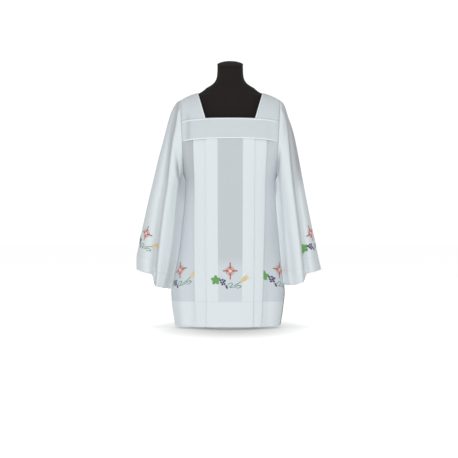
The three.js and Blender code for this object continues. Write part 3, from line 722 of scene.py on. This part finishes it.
# Number of the ring, outer point, inner point, half depth, middle, place and depth of the valley,
# and depth of the second, soft fold.
sleeves = {
    "left": {
        "side": -1, "valleySoft": 0.20, "headValley": 12, "shadeSoft": 0.16,
        # How dark the valley's painted shade is, and how dark the lobe outside it is painted, by number.
        "shade": [(0, 0.0, 0.0), (0.7, 0.85, 0.5), (3, 0.85, 0.3), (6, 0.8, 0.1), (9, 0.5, 0.0),
                  (15, 0.5, 0.0)],
        # Puffs and creases: number, place, their widths, depth and painted shade.
        "dents": [(1.3, 0.76, 1.1, 0.11, -6, 0.0), (3.7, 0.72, 0.8, 0.15, 8, 1.1)],
        # Where the front lobe turns in to the skirt, by number, and how far back the two meet.
        "inset": [(4, 0.8, 52), (5, 0.8, 52), (7, 0.83, 50), (10, 0.85, 46), (12, 0.86, 42), (15, 0.86, 36)],
        # How dark the painted shade in the groove beside the skirt is, by number, and how far past the turn
        # it deepens.
        "groove": [(0, 0.0), (0.8, 0.2), (2, 0.9), (5.5, 0.95), (7, 0.7), (10, 0.6), (12, 0.5), (15, 0.4)],
        "grooveEdge": (0.0, 0.08),
        "rings": [
            (0, 199, 908, 183, 586, 93, 0, 0.05, 0, 0), (1, 208.5, 902.5, 185.4, 577, 93, 0, 0.06, 1, 0),
            (2, 221.2, 888.4, 188, 563, 92, -1, 0.17, 4, 0),
            (3, 232.4, 868.4, 190.5, 548, 91, -2, 0.222, 8, 1),
            (4, 243.6, 838, 193, 533, 90, -4, 0.252, 12, 3),
            (5, 254.8, 798, 195.5, 519, 89, -6, 0.299, 16, 5),
            (6, 266, 754, 198, 503, 88, -8, 0.337, 20, 6),
            (7, 282.8, 691.6, 200, 478, 87, -11, 0.396, 24, 6),
            (8, 297, 634, 201.3, 452, 86, -14, 0.426, 27, 5),
            (9, 312, 570, 202.5, 424, 85, -17, 0.428, 29, 4),
            (10, 327, 508, 204, 394, 84, -20, 0.442, 30, 4),
            (11, 341, 444, 206.5, 362, 83, -22, 0.458, 31, 4),
            (12, 354.8, 382, 210.5, 326, 82, -24, 0.478, 32, 4),
            (13, 367, 322, 216.5, 284, 80, -26, 0.498, 33, 4),
            (14, 374.6, 277, 228.5, 213, 78, -27, 0.532, 34, 4),
            (15, 375, 234, 248.8, 155, 77, -27, 0.585, 34, 4),
        ],
        "cuff": [(0, 0), (0.3, 12), (0.53, 21), (0.6, -16), (0.8, -8), (1, 0)],
    },
    "right": {
        "side": 1, "valleySoft": 0.15, "headValley": 8, "shadeSoft": 0.17,
        "shade": [(0, 0.0, 0.0), (1.5, 0.7, 0.8), (5, 0.8, 1.0), (7.5, 0.7, 1.0), (9.5, 0.45, 0.0),
                  (12, 0.4, -0.2), (15, 0.3, -0.2)],
        "dents": [(1.0, 0.76, 1.2, 0.12, 4, 0.8)],
        "inset": [(4, 0.84, 50), (7, 0.86, 50), (10, 0.87, 47), (12, 0.88, 44), (15, 0.88, 40)],
        "groove": [(0, 0.0), (0.7, 0.7), (2, 1.4), (4.5, 1.2), (6, 0.3), (7, 0.0), (15, 0.0)],
        "grooveEdge": (0.05, 0.12),
        "rings": [
            (0, 199, 908, 183, 586, 93, 0, 0.05, 0, 0), (1, 208, 900, 185.4, 577, 93, 0, 0.05, 1, 0),
            (2, 217, 887, 187.5, 566, 92, -1, 0.055, 3, 0), (3, 225, 866, 189.5, 553, 91, -2, 0.065, 6, 0),
            (4, 232, 842, 191, 538, 90, -4, 0.09, 10, 1), (5, 242, 815, 192.5, 522, 89, -6, 0.175, 14, 2),
            (6, 255, 772, 193.5, 504, 88, -8, 0.258, 18, 3),
            (7, 268, 711, 194.5, 478, 87, -11, 0.306, 22, 3),
            (8, 280, 646, 195.8, 450, 86, -14, 0.328, 25, 3),
            (9, 291.5, 584, 197.5, 420, 85, -17, 0.342, 27, 4),
            (10, 303, 523, 199.2, 390, 84, -20, 0.351, 29, 5),
            (11, 315.5, 460, 201.3, 358, 83, -22, 0.364, 30, 7),
            (12, 328, 398, 203.8, 322, 82, -24, 0.384, 31, 9),
            (13, 340, 342, 206.8, 290, 80, -26, 0.403, 32, 10),
            (14, 351, 288, 210.2, 232, 78, -27, 0.415, 33, 11),
            (15, 364, 233, 217.5, 176, 77, -27, 0.446, 33, 12),
        ],
        "cuff": [(0, 0), (0.25, 5), (0.42, 9), (0.5, -20), (0.7, -19), (0.9, -11), (1, 0)],
    },
    "columns": 120, "rows": 104, "wall": 0.8, "hemGap": 1.2, "hemHeight": 57, "seamGap": 0.1,
    "valleySharp": 0.05, "softAt": 0.78, "softWidth": 0.1, "backAt": 0.42, "backShare": 0.45,
    "backWidth": 0.154, "clothWall": 0.7, "pleatRecess": 7.9, "underarmRound": 40, "cuffBack": 17,
    "flatten": 0.4, "tuck": 34, "insetWidth": 0.08, "edge": 0.97, "foldReach": 1.6,
    # From which ring to which each of these sets in.
    "ovalFrom": (0, 3), "flattenFrom": (3, 5.5), "headFrom": (0, 2.5), "dentsFrom": (0, 0.6),
    "tuckFrom": (0.2, 2.5), "insetFrom": (0.2, 1.6), "cuffFrom": 13, "cuffRings": 2,
}


def armholeDepth(z, face):
    return abs(surfacePoint(min(armholeX(z), halfWidth(z, 1)), z, face).y)


# Beside the pleats the skirt lies a little further in than the model's body.
def clearOfBody(y, z, side):
    share = min(1.0, abs(y) / bodyDepth(z, "front" if y < 0 else "back"))
    recess = sleeves["pleatRecess"] * (min(0.0, y) / 75) ** 2
    return halfWidth(z, side) * arc(share, lookUp(bodyRows, 5, z)) + sleeves["clothWall"] - recess


# Point of a sleeve: the turn goes from the outer point over the front, the inner point and the back.
def sleevePoint(facts, turn, number):
    outX, outZ, inX, inZ, depth, mid, valleyAt, valley, soft = (
        lookUp(facts["rings"], column, number) for column in range(1, 10))
    angle = 2 * math.pi * turn
    front = math.sin(angle) > 0
    at = (1 - math.cos(angle)) / 2
    z, x = outZ + (inZ - outZ) * at, outX + (inX - outX) * at
    bulge = abs(math.sin(angle))
    oval = smoothStep(number, *sleeves["ovalFrom"])
    outline = max(armholeDepth(z, "front" if front else "back"), sleeves["underarmRound"] * bulge)
    inner = front and at > 0.5
    flatter = 1 - sleeves["flatten"] * smoothStep(number, *sleeves["flattenFrom"]) if inner else 1
    half = outline * (1 - oval) + depth * bulge ** flatter * oval
    side = facts["side"]
    if front:
        valley = max(valley, facts["headValley"] * smoothStep(number, *sleeves["headFrom"]))
        width = facts["valleySoft"] if at < valleyAt else sleeves["valleySharp"]
        folds = valley * bump(at, valleyAt, width) + soft * bump(at, sleeves["softAt"], sleeves["softWidth"])
        for place, share, wide, tall, deep, _ in facts["dents"]:
            near = bump(number, place, wide) * bump(at, share, tall)
            folds += deep * near * smoothStep(number, *sleeves["dentsFrom"])
    else:
        folds = valley * sleeves["backShare"] * bump(at, sleeves["backAt"], sleeves["backWidth"])
        tuck = sleeves["tuck"] * smoothStep(bulge, 0.15, 0.8) * smoothStep(at, 0.5, 0.9)
        x -= tuck * smoothStep(number, *sleeves["tuckFrom"])
    reach = half - folds * min(1.0, bulge * sleeves["foldReach"])
    y = mid * bulge * bulge + (-reach if front else reach)
    if front:
        inset, meeting = (lookUp(facts["inset"], column, number) for column in (1, 2))
        ramp, edge = smoothStep(number, *sleeves["insetFrom"]), sleeves["edge"]
        back = -meeting * (1 - smoothStep(at, edge, 1))
        y += (back - y) * smoothStep(at, inset, inset + sleeves["insetWidth"]) * ramp
        x += (clearOfBody(y, z, side) - x) * smoothStep(at, inset + 0.02, edge) * ramp
    cuffShare = max(0.0, number - sleeves["cuffFrom"]) / sleeves["cuffRings"]
    z += cuffShare ** 2 * (lookUp(facts["cuff"], 1, at) if front else sleeves["cuffBack"] * bulge * bulge)
    if number <= 0:
        return Vector(((x + sleeves["seamGap"]) * side, y, z))
    if z < worn["underarm"]:
        x = max(x, clearOfBody(y, z, side))
    return Vector((x * side, y, z))


# Painted shade: the valley's floor, the lobe outside it, the creases and the groove beside the skirt get
# little light, so they are darkened in the colour.
def sleeveMarks(facts, number, turn):
    at = (1 - math.cos(2 * math.pi * turn)) / 2
    beyond = at - lookUp(facts["rings"], 7, number)
    valley, lobe = (lookUp(facts["shade"], column, number) for column in (1, 2))
    if turn > 0.5:
        return 1.0, max(0.0, lobe) * (1 - smoothStep(at, 0, 0.3))
    shade = lobe + (valley - lobe) * smoothStep(beyond, -facts["shadeSoft"], -0.04)
    shade *= 1 - smoothStep(beyond, 0.045, 0.085)
    for place, share, wide, tall, _, dark in facts["dents"]:
        shade += dark * bump(number, place, wide) * bump(at, share, tall)
    low, high = (lookUp(facts["inset"], 1, number) + by for by in facts["grooveEdge"])
    shade += lookUp(facts["groove"], 1, number) * smoothStep(at, low, high)
    return 1.0, min(1.0, max(0.0, shade))


def sleevePiece(name):
    facts = sleeves[name]
    numbers = spread(0, 15, sleeves["rows"])
    turns = spread(0, 1, sleeves["columns"] + 1)
    points = [[sleevePoint(facts, turn, number) for turn in turns] for number in numbers]
    for row in points:
        row[-1] = row[0].copy()
    cloth = clothFrom(points, (60, 0, (facts["side"], 0, 0)), around=True)
    outer = len(points)
    cloth = turnUp(cloth, sleeves["hemHeight"], sleeves["hemGap"])
    piece = sewPiece("cloth_sleeve_" + name, cloth, sleeveCrepe,
                     lambda r, c: sleeveMarks(facts, numbers[r], turns[c]) if r < outer
                     else (1.0, 0.0), sleeves["wall"])
    return piece, cloth


sleevePieces = {name: sleevePiece(name) for name in ("left", "right")}
print("surplice: sleeves sewn")


# Embroidery: one motif of a cross with a vine leaf, grapes, tendrils and an ear of wheat

motif = {
    "lift": 0.12,  # millimetres from the cloth's face to the underside of the stitches
    "cross": {"armStart": 6.2, "armAcross": 29.0, "armUp": 33.5, "width": 3.9, "flare": 1.6, "knob": 6.2,
              "armHeight": 0.65, "tipLength": 5.2, "tipWidth": 3.4, "tipHeight": 0.75, "centre": 9.6},
    "rays": {"between": 6, "start": 9.5, "short": 19.0, "long": 25.0, "step": 2.4, "width": 1.9},
    "leaf": {"centre": (-57.0, -36.0), "size": 20.5},
    "grapes": [(-38.5, -37), (-30, -35), (-21.5, -38.5), (-35, -45), (-26.5, -44.5), (-31, -53),
               (-22, -51.5), (-15.5, -60), (-12.5, -66)],
    "grapeSize": 4.5,
    "stems": [
        [(-10, -60), (-6, -51), (3, -47.5), (9, -51), (5, -58), (-2, -63), (6, -65), (14, -62)],
        [(13, -66), (22, -62), (31, -56), (43, -61), (33, -67), (24, -66)],
        [(12, -60), (21, -55), (31, -49), (43, -41.5)],
    ],
    "wheat": {"foot": (43.0, -42.0), "tip": (67.0, -23.0), "grains": 5, "grainSize": (8.6, 3.0)},
}
threadColours = {
    "brick": "#a83728", "salmon": "#e2705e", "peach": "#f6d3bb", "leaf_green": "#68a856",
    "stem_green": "#2f7d4a", "grape": "#574a75", "gold": "#f0d28c", "dark_red": "#7c3a3a",
    "pale_gold": "#f4e0b2",
}
threads = [threadMaterial("rayon_thread_" + name, code) for name, code in threadColours.items()]
threadNumber = {name: i for i, name in enumerate(threadColours)}


# Point and normal of a cloth at distances across and up its cut, by its grid.
def clothPlace(cloth, u, v):
    rows = cloth["outerRows"]
    r, c = rows // 2, len(cloth["points"][0]) // 2
    for _ in range(4):
        column = [-cloth["up"][i][c] for i in range(rows)]
        r = min(max(1, bisect.bisect_left(column, -v)), rows - 1)
        fr = (-v - column[r - 1]) / ((column[r] - column[r - 1]) or 1)
        line = cloth["along"][r]
        c = min(max(1, bisect.bisect_left(line, u)), len(line) - 1)
        fc = (u - line[c - 1]) / ((line[c] - line[c - 1]) or 1)

    def blend(grid):
        top = grid[r - 1][c - 1].lerp(grid[r - 1][c], fc)
        return top.lerp(grid[r][c - 1].lerp(grid[r][c], fc), fr)

    return blend(cloth["points"]), blend(cloth["normals"]).normalized()


# Distances across and up the cut of the place that is seen at x and z on the front of a cloth.
def findOnCloth(cloth, x, z):
    best = None
    columns = range(len(cloth["points"][0]))
    for r in range(cloth["outerRows"]):
        row = cloth["points"][r]
        hits = [c for c in columns if row[c].y < -20 and abs(row[c].x - x) < 6 and abs(row[c].z - z) < 8]
        for c in hits:
            miss = math.hypot(row[c].x - x, row[c].z - z) + (0 if cloth["normals"][r][c].y < 0 else 50)
            if best is None or miss < best[0]:
                best = (miss, cloth["along"][r][c], cloth["up"][r][c])
    return best[1], best[2]


# A drawing surface on the cloth: millimetres across and up from the motif's centre.
def drawingOn(cloth, u, v, tilt, size, face, broad):
    centre, normal = clothPlace(cloth, u, v)
    across = (clothPlace(cloth, u + 3, v)[0] - clothPlace(cloth, u - 3, v)[0]) / 6
    upward = (clothPlace(cloth, u, v + 3)[0] - clothPlace(cloth, u, v - 3)[0]) / 6
    first = Vector((math.cos(tilt), 0, math.sin(tilt)))
    first = (first - normal * first.dot(normal)).normalized()
    second = first.cross(normal).normalized()
    if second.z < 0:
        second.negate()
    aa, ab, bb = across.dot(across), across.dot(upward), upward.dot(upward)
    share = aa * bb - ab * ab

    def place(x, y, lift):
        wish = (first * x * broad + second * y) * size
        p, q = wish.dot(across), wish.dot(upward)
        point, out = clothPlace(cloth, u + (p * bb - q * ab) / share, v + (q * aa - p * ab) / share)
        return (point + out * (face + motif["lift"] + lift)) * mm

    return place


def curveAt(points, s):
    at = s * (len(points) - 1)
    i = min(int(at), len(points) - 2)
    f = at - i
    a, b = points[i], points[i + 1]
    before = points[i - 1] if i else (2 * a[0] - b[0], 2 * a[1] - b[1])
    after = points[i + 2] if i + 2 < len(points) else (2 * b[0] - a[0], 2 * b[1] - a[1])

    return tuple(hermite(a[k], b[k], (b[k] - before[k]) / 2, (after[k] - a[k]) / 2, f) for k in (0, 1))


# A closed band of satin stitches along a line, rounded at its ends and flat underneath.
def addBand(bm, notes, place, line, widthAt, height, thread, steps):
    made = bmesh.ops.create_grid(bm, x_segments=steps, y_segments=8, size=0.5)["verts"]
    for vert in made:
        s, turn = vert.co.x + 0.5, (vert.co.y + 0.5) * 2 * math.pi
        x, y = curveAt(line, s)
        nx, ny = curveAt(line, min(1.0, s + 0.01))
        px, py = curveAt(line, max(0.0, s - 0.01))
        dx, dy = nx - px, ny - py
        size = math.hypot(dx, dy) or 1.0
        ends = math.sqrt(max(0.0, 1 - abs(2 * s - 1) ** 8))
        half = widthAt(s) / 2 * ends
        out = math.cos(turn) * half
        notes[vert] = (s * 20, out, thread)
        lift = height * ends * max(0.0, math.sin(turn))
        vert.co = place(x - dy / size * out, y + dx / size * out, lift)


# A closed cushion of stitches whose outline is a radius by angle.
def addCushion(bm, notes, place, centre, radiusAt, height, thread, segments=20):
    made = bmesh.ops.create_uvsphere(bm, u_segments=segments, v_segments=8, radius=1)["verts"]
    for vert in made:
        angle, r = math.atan2(vert.co.y, vert.co.x), math.hypot(vert.co.x, vert.co.y)
        radius = radiusAt(angle) * r
        x, y = radius * math.cos(angle), radius * math.sin(angle)
        notes[vert] = (x, y, thread)
        lift = height * max(0.0, vert.co.z) ** 0.6
        vert.co = place(centre[0] + x, centre[1] + y, lift)


def lozenge(size):
    return lambda a: size / (abs(math.cos(a)) + abs(math.sin(a)))


def addCross(drawn):
    facts = motif["cross"]

    def armWidth(s):
        return (facts["width"] + facts["flare"] * bump(s, 0, 0.25)
                + (facts["knob"] - facts["width"]) * bump(s, 0.93, 0.09))

    for k in range(4):
        angle = math.pi / 2 * k
        dx, dy = math.cos(angle), math.sin(angle)
        reach = facts["armAcross"] if k % 2 == 0 else facts["armUp"]

        line = [(dx * r, dy * r) for r in spread(facts["armStart"], reach, 4)]
        addBand(*drawn, line, armWidth, facts["armHeight"], "brick", 14)
        tip = [(dx * r, dy * r) for r in spread(reach - facts["tipLength"], reach + 0.4, 3)]
        addBand(*drawn, tip, lambda s: facts["tipWidth"], facts["tipHeight"], "dark_red", 4)
    rays = motif["rays"]
    for k in range(4):
        for i in range(rays["between"]):
            share = (i + 1) / (rays["between"] + 1)
            angle = math.pi / 2 * (k + share)
            far = rays["short"] + (rays["long"] - rays["short"]) * abs(2 * share - 1) ** 0.8
            far -= rays["step"] * (i % 2)
            line = [(math.cos(angle) * r, math.sin(angle) * r) for r in spread(rays["start"], far, 3)]
            addBand(*drawn, line, lambda s: rays["width"], 0.45, "salmon", 3)
    addCushion(*drawn, (0, 0), lozenge(facts["centre"] + 2.4), 0.5, "brick", 32)
    addCushion(*drawn, (0, 0), lozenge(facts["centre"] - 0.4), 0.8, "peach", 32)


def addLeaf(drawn):
    (cx, cy), size = motif["leaf"]["centre"], motif["leaf"]["size"]

    def outline(angle):
        lobes = abs(math.cos(2.5 * (angle - math.pi / 2)))
        return size * (0.62 + 0.38 * lobes ** 1.2) * (0.94 + 0.06 * math.cos(25 * angle))

    addCushion(*drawn, (cx, cy), outline, 0.6, "leaf_green", 50)
    for k in range(5):
        angle = math.pi / 2 + 2 * math.pi * k / 5
        line = [(cx + math.cos(angle) * r, cy + math.sin(angle) * r) for r in spread(0, size * 0.8, 3)]
        addBand(*drawn, line, lambda s: 0.9, 0.85, "stem_green", 4)


def addGrapes(drawn):
    for x, y in motif["grapes"]:
        size = motif["grapeSize"] * dice.uniform(0.88, 1.08)
        addCushion(*drawn, (x, y), lambda a: size, 0.9, "grape", 14)


def addWheat(drawn):
    facts = motif["wheat"]
    (fx, fy), (tx, ty) = facts["foot"], facts["tip"]
    length = math.hypot(tx - fx, ty - fy)
    dx, dy = (tx - fx) / length, (ty - fy) / length
    addBand(*drawn, [(fx, fy), (tx, ty)], lambda s: 1.5, 0.4, "gold", 6)
    long, wide = facts["grainSize"]
    for i in range(facts["grains"]):
        at = length * (0.1 + 0.86 * i / (facts["grains"] - 1))
        spreadOut = 4.2 * math.sin(math.pi * (0.25 + 0.6 * i / (facts["grains"] - 1)))
        for side in (-1, 1):
            cx, cy = fx + dx * at - dy * side * spreadOut, fy + dy * at + dx * side * spreadOut
            lean = math.atan2(dy, dx) + side * 0.42
            ax, ay = math.cos(lean), math.sin(lean)
            ends = [(cx - ax * long / 2, cy - ay * long / 2), (cx + ax * long / 2, cy + ay * long / 2)]
            addBand(*drawn, ends, lambda s: wide * 2 * math.sin(math.pi * min(1, s * 0.9 + 0.06)), 0.8,
                    "gold", 6)
            awn = [ends[1], (ends[1][0] + ax * 11 + dx * 4, ends[1][1] + ay * 11 + dy * 4)]
            addBand(*drawn, awn, lambda s: 1.1, 0.35, "pale_gold", 3)


def stitchMotif(name, cloth, u, v, tilt=0.0, size=1.0, face=0.0, broad=1.0):
    bm, notes = bmesh.new(), {}
    drawn = (bm, notes, drawingOn(cloth, u, v, tilt, size, face, broad))
    addCross(drawn)
    addLeaf(drawn)
    addGrapes(drawn)
    for line in motif["stems"]:
        addBand(*drawn, line, lambda s: 2.0 + 0.6 * math.sin(math.pi * s), 0.5, "stem_green", 6 * len(line))
    addWheat(drawn)
    cut = bm.loops.layers.uv.new("cut")
    for piece in bm.faces:
        piece.smooth = True
        piece.material_index = threadNumber[notes[piece.loops[0].vert][2]]
        for loop in piece.loops:
            x, y, _ = notes[loop.vert]
            loop[cut].uv = (x * mm, y * mm)
    bmesh.ops.remove_doubles(bm, verts=bm.verts, dist=2e-5)
    bmesh.ops.recalc_face_normals(bm, faces=bm.faces)
    piece = makeObject(name, bm, threads)
    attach(piece, "root")
    return piece


frontCloth = skirts["front"][1]
skirtFace = pleats["wall"] / 2
skirtMotifs = [stitchMotif("embroidery_front_centre", frontCloth, 0, 221, face=skirtFace)]
for name, x in (("left", -198), ("right", 193)):
    skirtMotifs.append(stitchMotif("embroidery_front_" + name, frontCloth, *findOnCloth(frontCloth, x, 228),
                                   face=skirtFace, broad=1.3))
for name, x, z, tilt in (("left", -333, 379, -0.32), ("right", 317, 379, 0.34)):
    cloth = sleevePieces[name][1]
    stitchMotif("embroidery_sleeve_" + name, cloth, *findOnCloth(cloth, x, z), tilt=tilt,
                                     size=0.9, broad=1.25)
print("surplice: embroidery stitched")

for face in ("front", "back"):
    wearCloth(skirts[face][0], "skirt_" + face)
for name in ("left", "right"):
    wearCloth(sleevePieces[name][0], "sleeve_" + name)


# Form and stand

form = {
    # Height, half width, depth front and back, squareness.
    "rows": [
        (250, 158, 104, 98, 2.6), (300, 170, 109, 101, 2.6), (390, 172, 111, 101, 2.6),
        (560, 138, 100, 86, 2.4), (700, 160, 109, 102, 2.7), (747, 168, 108, 101, 2.8),
        (800, 170, 101, 96, 2.7), (838, 169, 94, 89, 2.6), (870, 167, 86, 82, 2.4), (900, 163, 77, 74, 2.2),
        (915, 159, 72.5, 69.5, 2.05), (925, 152, 69.5, 66.5, 2), (931.5, 144, 67.5, 64.5, 2),
        (936.4, 125, 66, 63, 2), (947, 108, 63.5, 60.5, 2), (958, 95, 61, 58, 2), (968, 78, 58, 55.5, 2),
        (977, 66.5, 56, 54, 2), (989, 58, 54.5, 53, 2), (1003, 53.5, 53.5, 52, 2), (1026, 51.5, 53, 52, 2),
        (1050, 51, 52.5, 52, 2),
    ],
    "clear": 0.6, "neckEase": 0.01, "neckTilt": 0.29, "tiltFrom": 995, "neckTop": 1050,
    "points": 96, "edgeRound": 6, "clothWall": 1.1, "capGap": 0.3,
    "cap": [(50, 0), (52, 1.2), (51, 3.4), (44, 6.6), (33, 10), (19, 12.4), (8, 13.3), (0, 13.5)],
    "base": [(0, 0), (111.2, 0), (112, 0.8), (112, 8.6), (111.1, 10.6), (109, 11.6), (106, 12), (0, 12)],
    "pole": [(0, 12.3), (14.6, 12.3), (15, 12.8), (15, 242.9), (14.6, 243.4), (0, 243.4)],
    "plate": [(0, 243.7), (59.2, 243.7), (60, 244.5), (60, 248.9), (59.2, 249.7), (0, 249.7)],
}


def underCloth(x, z, face):
    shrink = form["clothWall"] + form["clear"]
    rise = (z - worn["chest"]) / (ridge(x) - shrink - worn["chest"])
    return 0.0 if rise >= 1 else (archDepth(x, face) - shrink) * math.sqrt(1 - rise * rise)


def formRow(z, inset=0.0):
    width, power = lookUp(form["rows"], 1, z), lookUp(form["rows"], 4, z)
    tilt = form["neckTilt"] * smoothStep(z, form["tiltFrom"], form["neckTop"])
    row = []
    for i in range(form["points"] + 1):
        angle = 2 * math.pi * i / form["points"]
        s, c = math.sin(angle), math.cos(angle)
        face = "front" if c > 0 else "back"
        depth = lookUp(form["rows"], 2 if c > 0 else 3, z)
        radius = ovalRadius(abs(s), abs(c), width, depth, power)
        x, y = radius * s, abs(radius * c)
        facts = yoke[face]
        if worn["chest"] < z < ridge(facts["neckTop"]):
            beside = max(0.0, neckAt(max(z, facts["upper"]), facts) - abs(x))
            y = min(y, underCloth(x, z, face) + form["neckEase"] * beside * beside)
        y *= facts["y"]
        row.append(Vector((x * (1 - inset / 160), y * (1 - inset / 100), z + tilt * y)))
    row[-1] = row[0].copy()
    return row


def formTorso():
    edge = form["edgeRound"]
    rows = [formRow(250 + edge * (1 - math.cos(a)), edge * (1 - math.sin(a)))
            for a in spread(0, math.pi / 2, 6)]
    rows += [formRow(z) for z in spread(264, 900, 54)] + [formRow(z) for z in spread(904, 1050, 50)]
    cloth = clothFrom(rows[::-1], (40, 24, (1, 0, 0)), around=True)
    piece = sewPiece("form_cover", cloth, jersey, lambda r, c: (0.0, 0.0), wall=0.0)
    bm = bmesh.new()
    bm.from_mesh(piece.data)
    rims = [e for e in bm.edges if e.is_boundary]
    bmesh.ops.holes_fill(bm, edges=rims, sides=0)
    bmesh.ops.recalc_face_normals(bm, faces=bm.faces)
    bm.to_mesh(piece.data)
    bm.free()
    return piece


# A turned piece: its outline is spun once round the stand's axis.
def turnedPiece(name, outline, material, segments=96):
    bm = bmesh.new()
    verts = [bm.verts.new((r * mm, 0, z * mm)) for r, z in outline]
    edges = [bm.edges.new(pair) for pair in zip(verts, verts[1:])]
    bmesh.ops.spin(bm, geom=verts + edges, cent=(0, 0, 0), axis=(0, 0, 1), angle=2 * math.pi,
                   steps=segments, use_merge=True)
    bmesh.ops.remove_doubles(bm, verts=bm.verts, dist=1e-6)
    bmesh.ops.recalc_face_normals(bm, faces=bm.faces)
    cut = bm.loops.layers.uv.new("cut")
    for face in bm.faces:
        face.smooth = True
        for loop in face.loops:
            loop[cut].uv = loop.vert.co.xy
    piece = makeObject(name, bm, [material])
    piece.data.set_sharp_from_angle(angle=math.radians(40))
    return piece


# The cap's outline with a point added between each two.
def capOutline():
    rows = form["cap"]
    steps = len(rows) - 1
    return [(0, 0)] + [curveAt(rows, (i + f) / steps) for i in range(steps) for f in (0, 0.5)] + rows[-1:]


placeOnFrame(formTorso(), "form_torso")
neckCap = turnedPiece("form_cap", capOutline(), jersey)
stretch, lean = math.hypot(1, form["neckTilt"]), math.atan(form["neckTilt"])
for vert in neckCap.data.vertices:
    y, z = vert.co.y * stretch, vert.co.z
    vert.co.y = y * math.cos(lean) - z * math.sin(lean)
    vert.co.z = (y * math.sin(lean) + z * math.cos(lean)
                 + (form["neckTop"] + form["capGap"] * stretch) * mm)
placeOnFrame(neckCap, "form_neck_cap")
for part in ("base", "pole", "plate"):
    placeOnFrame(turnedPiece("stand_" + part, form[part], powderCoat), "form_" + part)
print("surplice: form and stand turned")


# Studio: a camera far off, four lamps and a floor of white paper

studio = {
    "camera": (-0.0048, -6.5, 0.394), "lens": 127.7,
    "sky": 0.42, "floorLight": 0.58,
    # Place, width, power and where it points.
    "lamps": [
        ((-0.9, -6.6, 2.9), 2.2, 30.0, (0, 0, 0.6)),
        ((-0.7, -6.6, 0.5), 0.9, 115.0, (0, 0, 0.1)),
        ((0.0, -1.6, 4.5), 2.4, 34.0, (0, 0, 0.9)),
        ((0.9, 6.2, 2.2), 1.8, 110.0, (0, 0, 0.5)),
    ],
    "floor": 40.0,
}


def studioFloor():
    bm = bmesh.new()
    bmesh.ops.create_grid(bm, x_segments=1, y_segments=1, size=studio["floor"])
    material, tree, shader = newMaterial("pale_studio_floor", {
        "Roughness": 1.0, "Specular IOR Level": 0.0, "Base Color": linearColour("#b4b4b4"),
        "Emission Color": linearColour("#ffffff")})
    # Seen by the camera, the paper glows white away from the object and less in an oval round its foot: a
    # painted soft shadow over the real one.
    place = addNode(tree, "TexCoord").outputs["Object"]
    oval = addNode(tree, "Mapping", inputs={
        "Vector": place, "Scale": (1 / 0.32, 1 / 0.7, 1)})
    away = addNode(tree, "VectorMath", {"operation": "LENGTH"}, {0: oval.outputs[0]})
    glow = addNode(tree, "MapRange", inputs={
        "Value": away.outputs["Value"], "From Min": 0.1, "From Max": 1.1, "To Min": 0.1, "To Max": 0.8})
    seen = addNode(tree, "LightPath").outputs["Is Camera Ray"]
    level = addNode(tree, "MapRange", inputs={
        "Value": seen, "To Min": studio["floorLight"], "To Max": glow.outputs[0]})
    tree.links.new(level.outputs[0], shader.inputs["Emission Strength"])
    floor = makeObject("studio_floor", bm, [material])


def studioLights():
    world = bpy.data.worlds.new("studio_sky")
    bpy.context.scene.world = world
    world.use_nodes = True
    tree = world.node_tree
    back = tree.nodes["Background"]
    seen = addNode(tree, "LightPath").outputs["Is Camera Ray"]
    level = addNode(tree, "MapRange", inputs={
        "Value": seen, "To Min": studio["sky"], "To Max": 1.05})
    tree.links.new(level.outputs[0], back.inputs["Strength"])
    back.inputs["Color"].default_value = (1, 1, 1, 1)
    for i, (place, width, power, aim) in enumerate(studio["lamps"]):
        lamp = bpy.data.lights.new("softbox_%d" % i, "AREA")
        lamp.shape, lamp.size, lamp.energy = "DISK", width, power
        holder = bpy.data.objects.new(lamp.name, lamp)
        holder.location = place
        holder.rotation_euler = (Vector(aim) - Vector(place)).to_track_quat("-Z", "Y").to_euler()
        bpy.context.scene.collection.objects.link(holder)


def studioCamera():
    data = bpy.data.cameras.new("camera")
    data.sensor_width, data.lens = 36.0, studio["lens"]
    camera = bpy.data.objects.new("camera", data)
    camera.location = studio["camera"]
    camera.rotation_euler = (math.pi / 2, 0, 0)
    bpy.context.scene.collection.objects.link(camera)
    bpy.context.scene.camera = camera


studioFloor()
studioLights()
studioCamera()
bpy.context.scene.view_settings.view_transform = "Standard"
print("surplice: studio set")
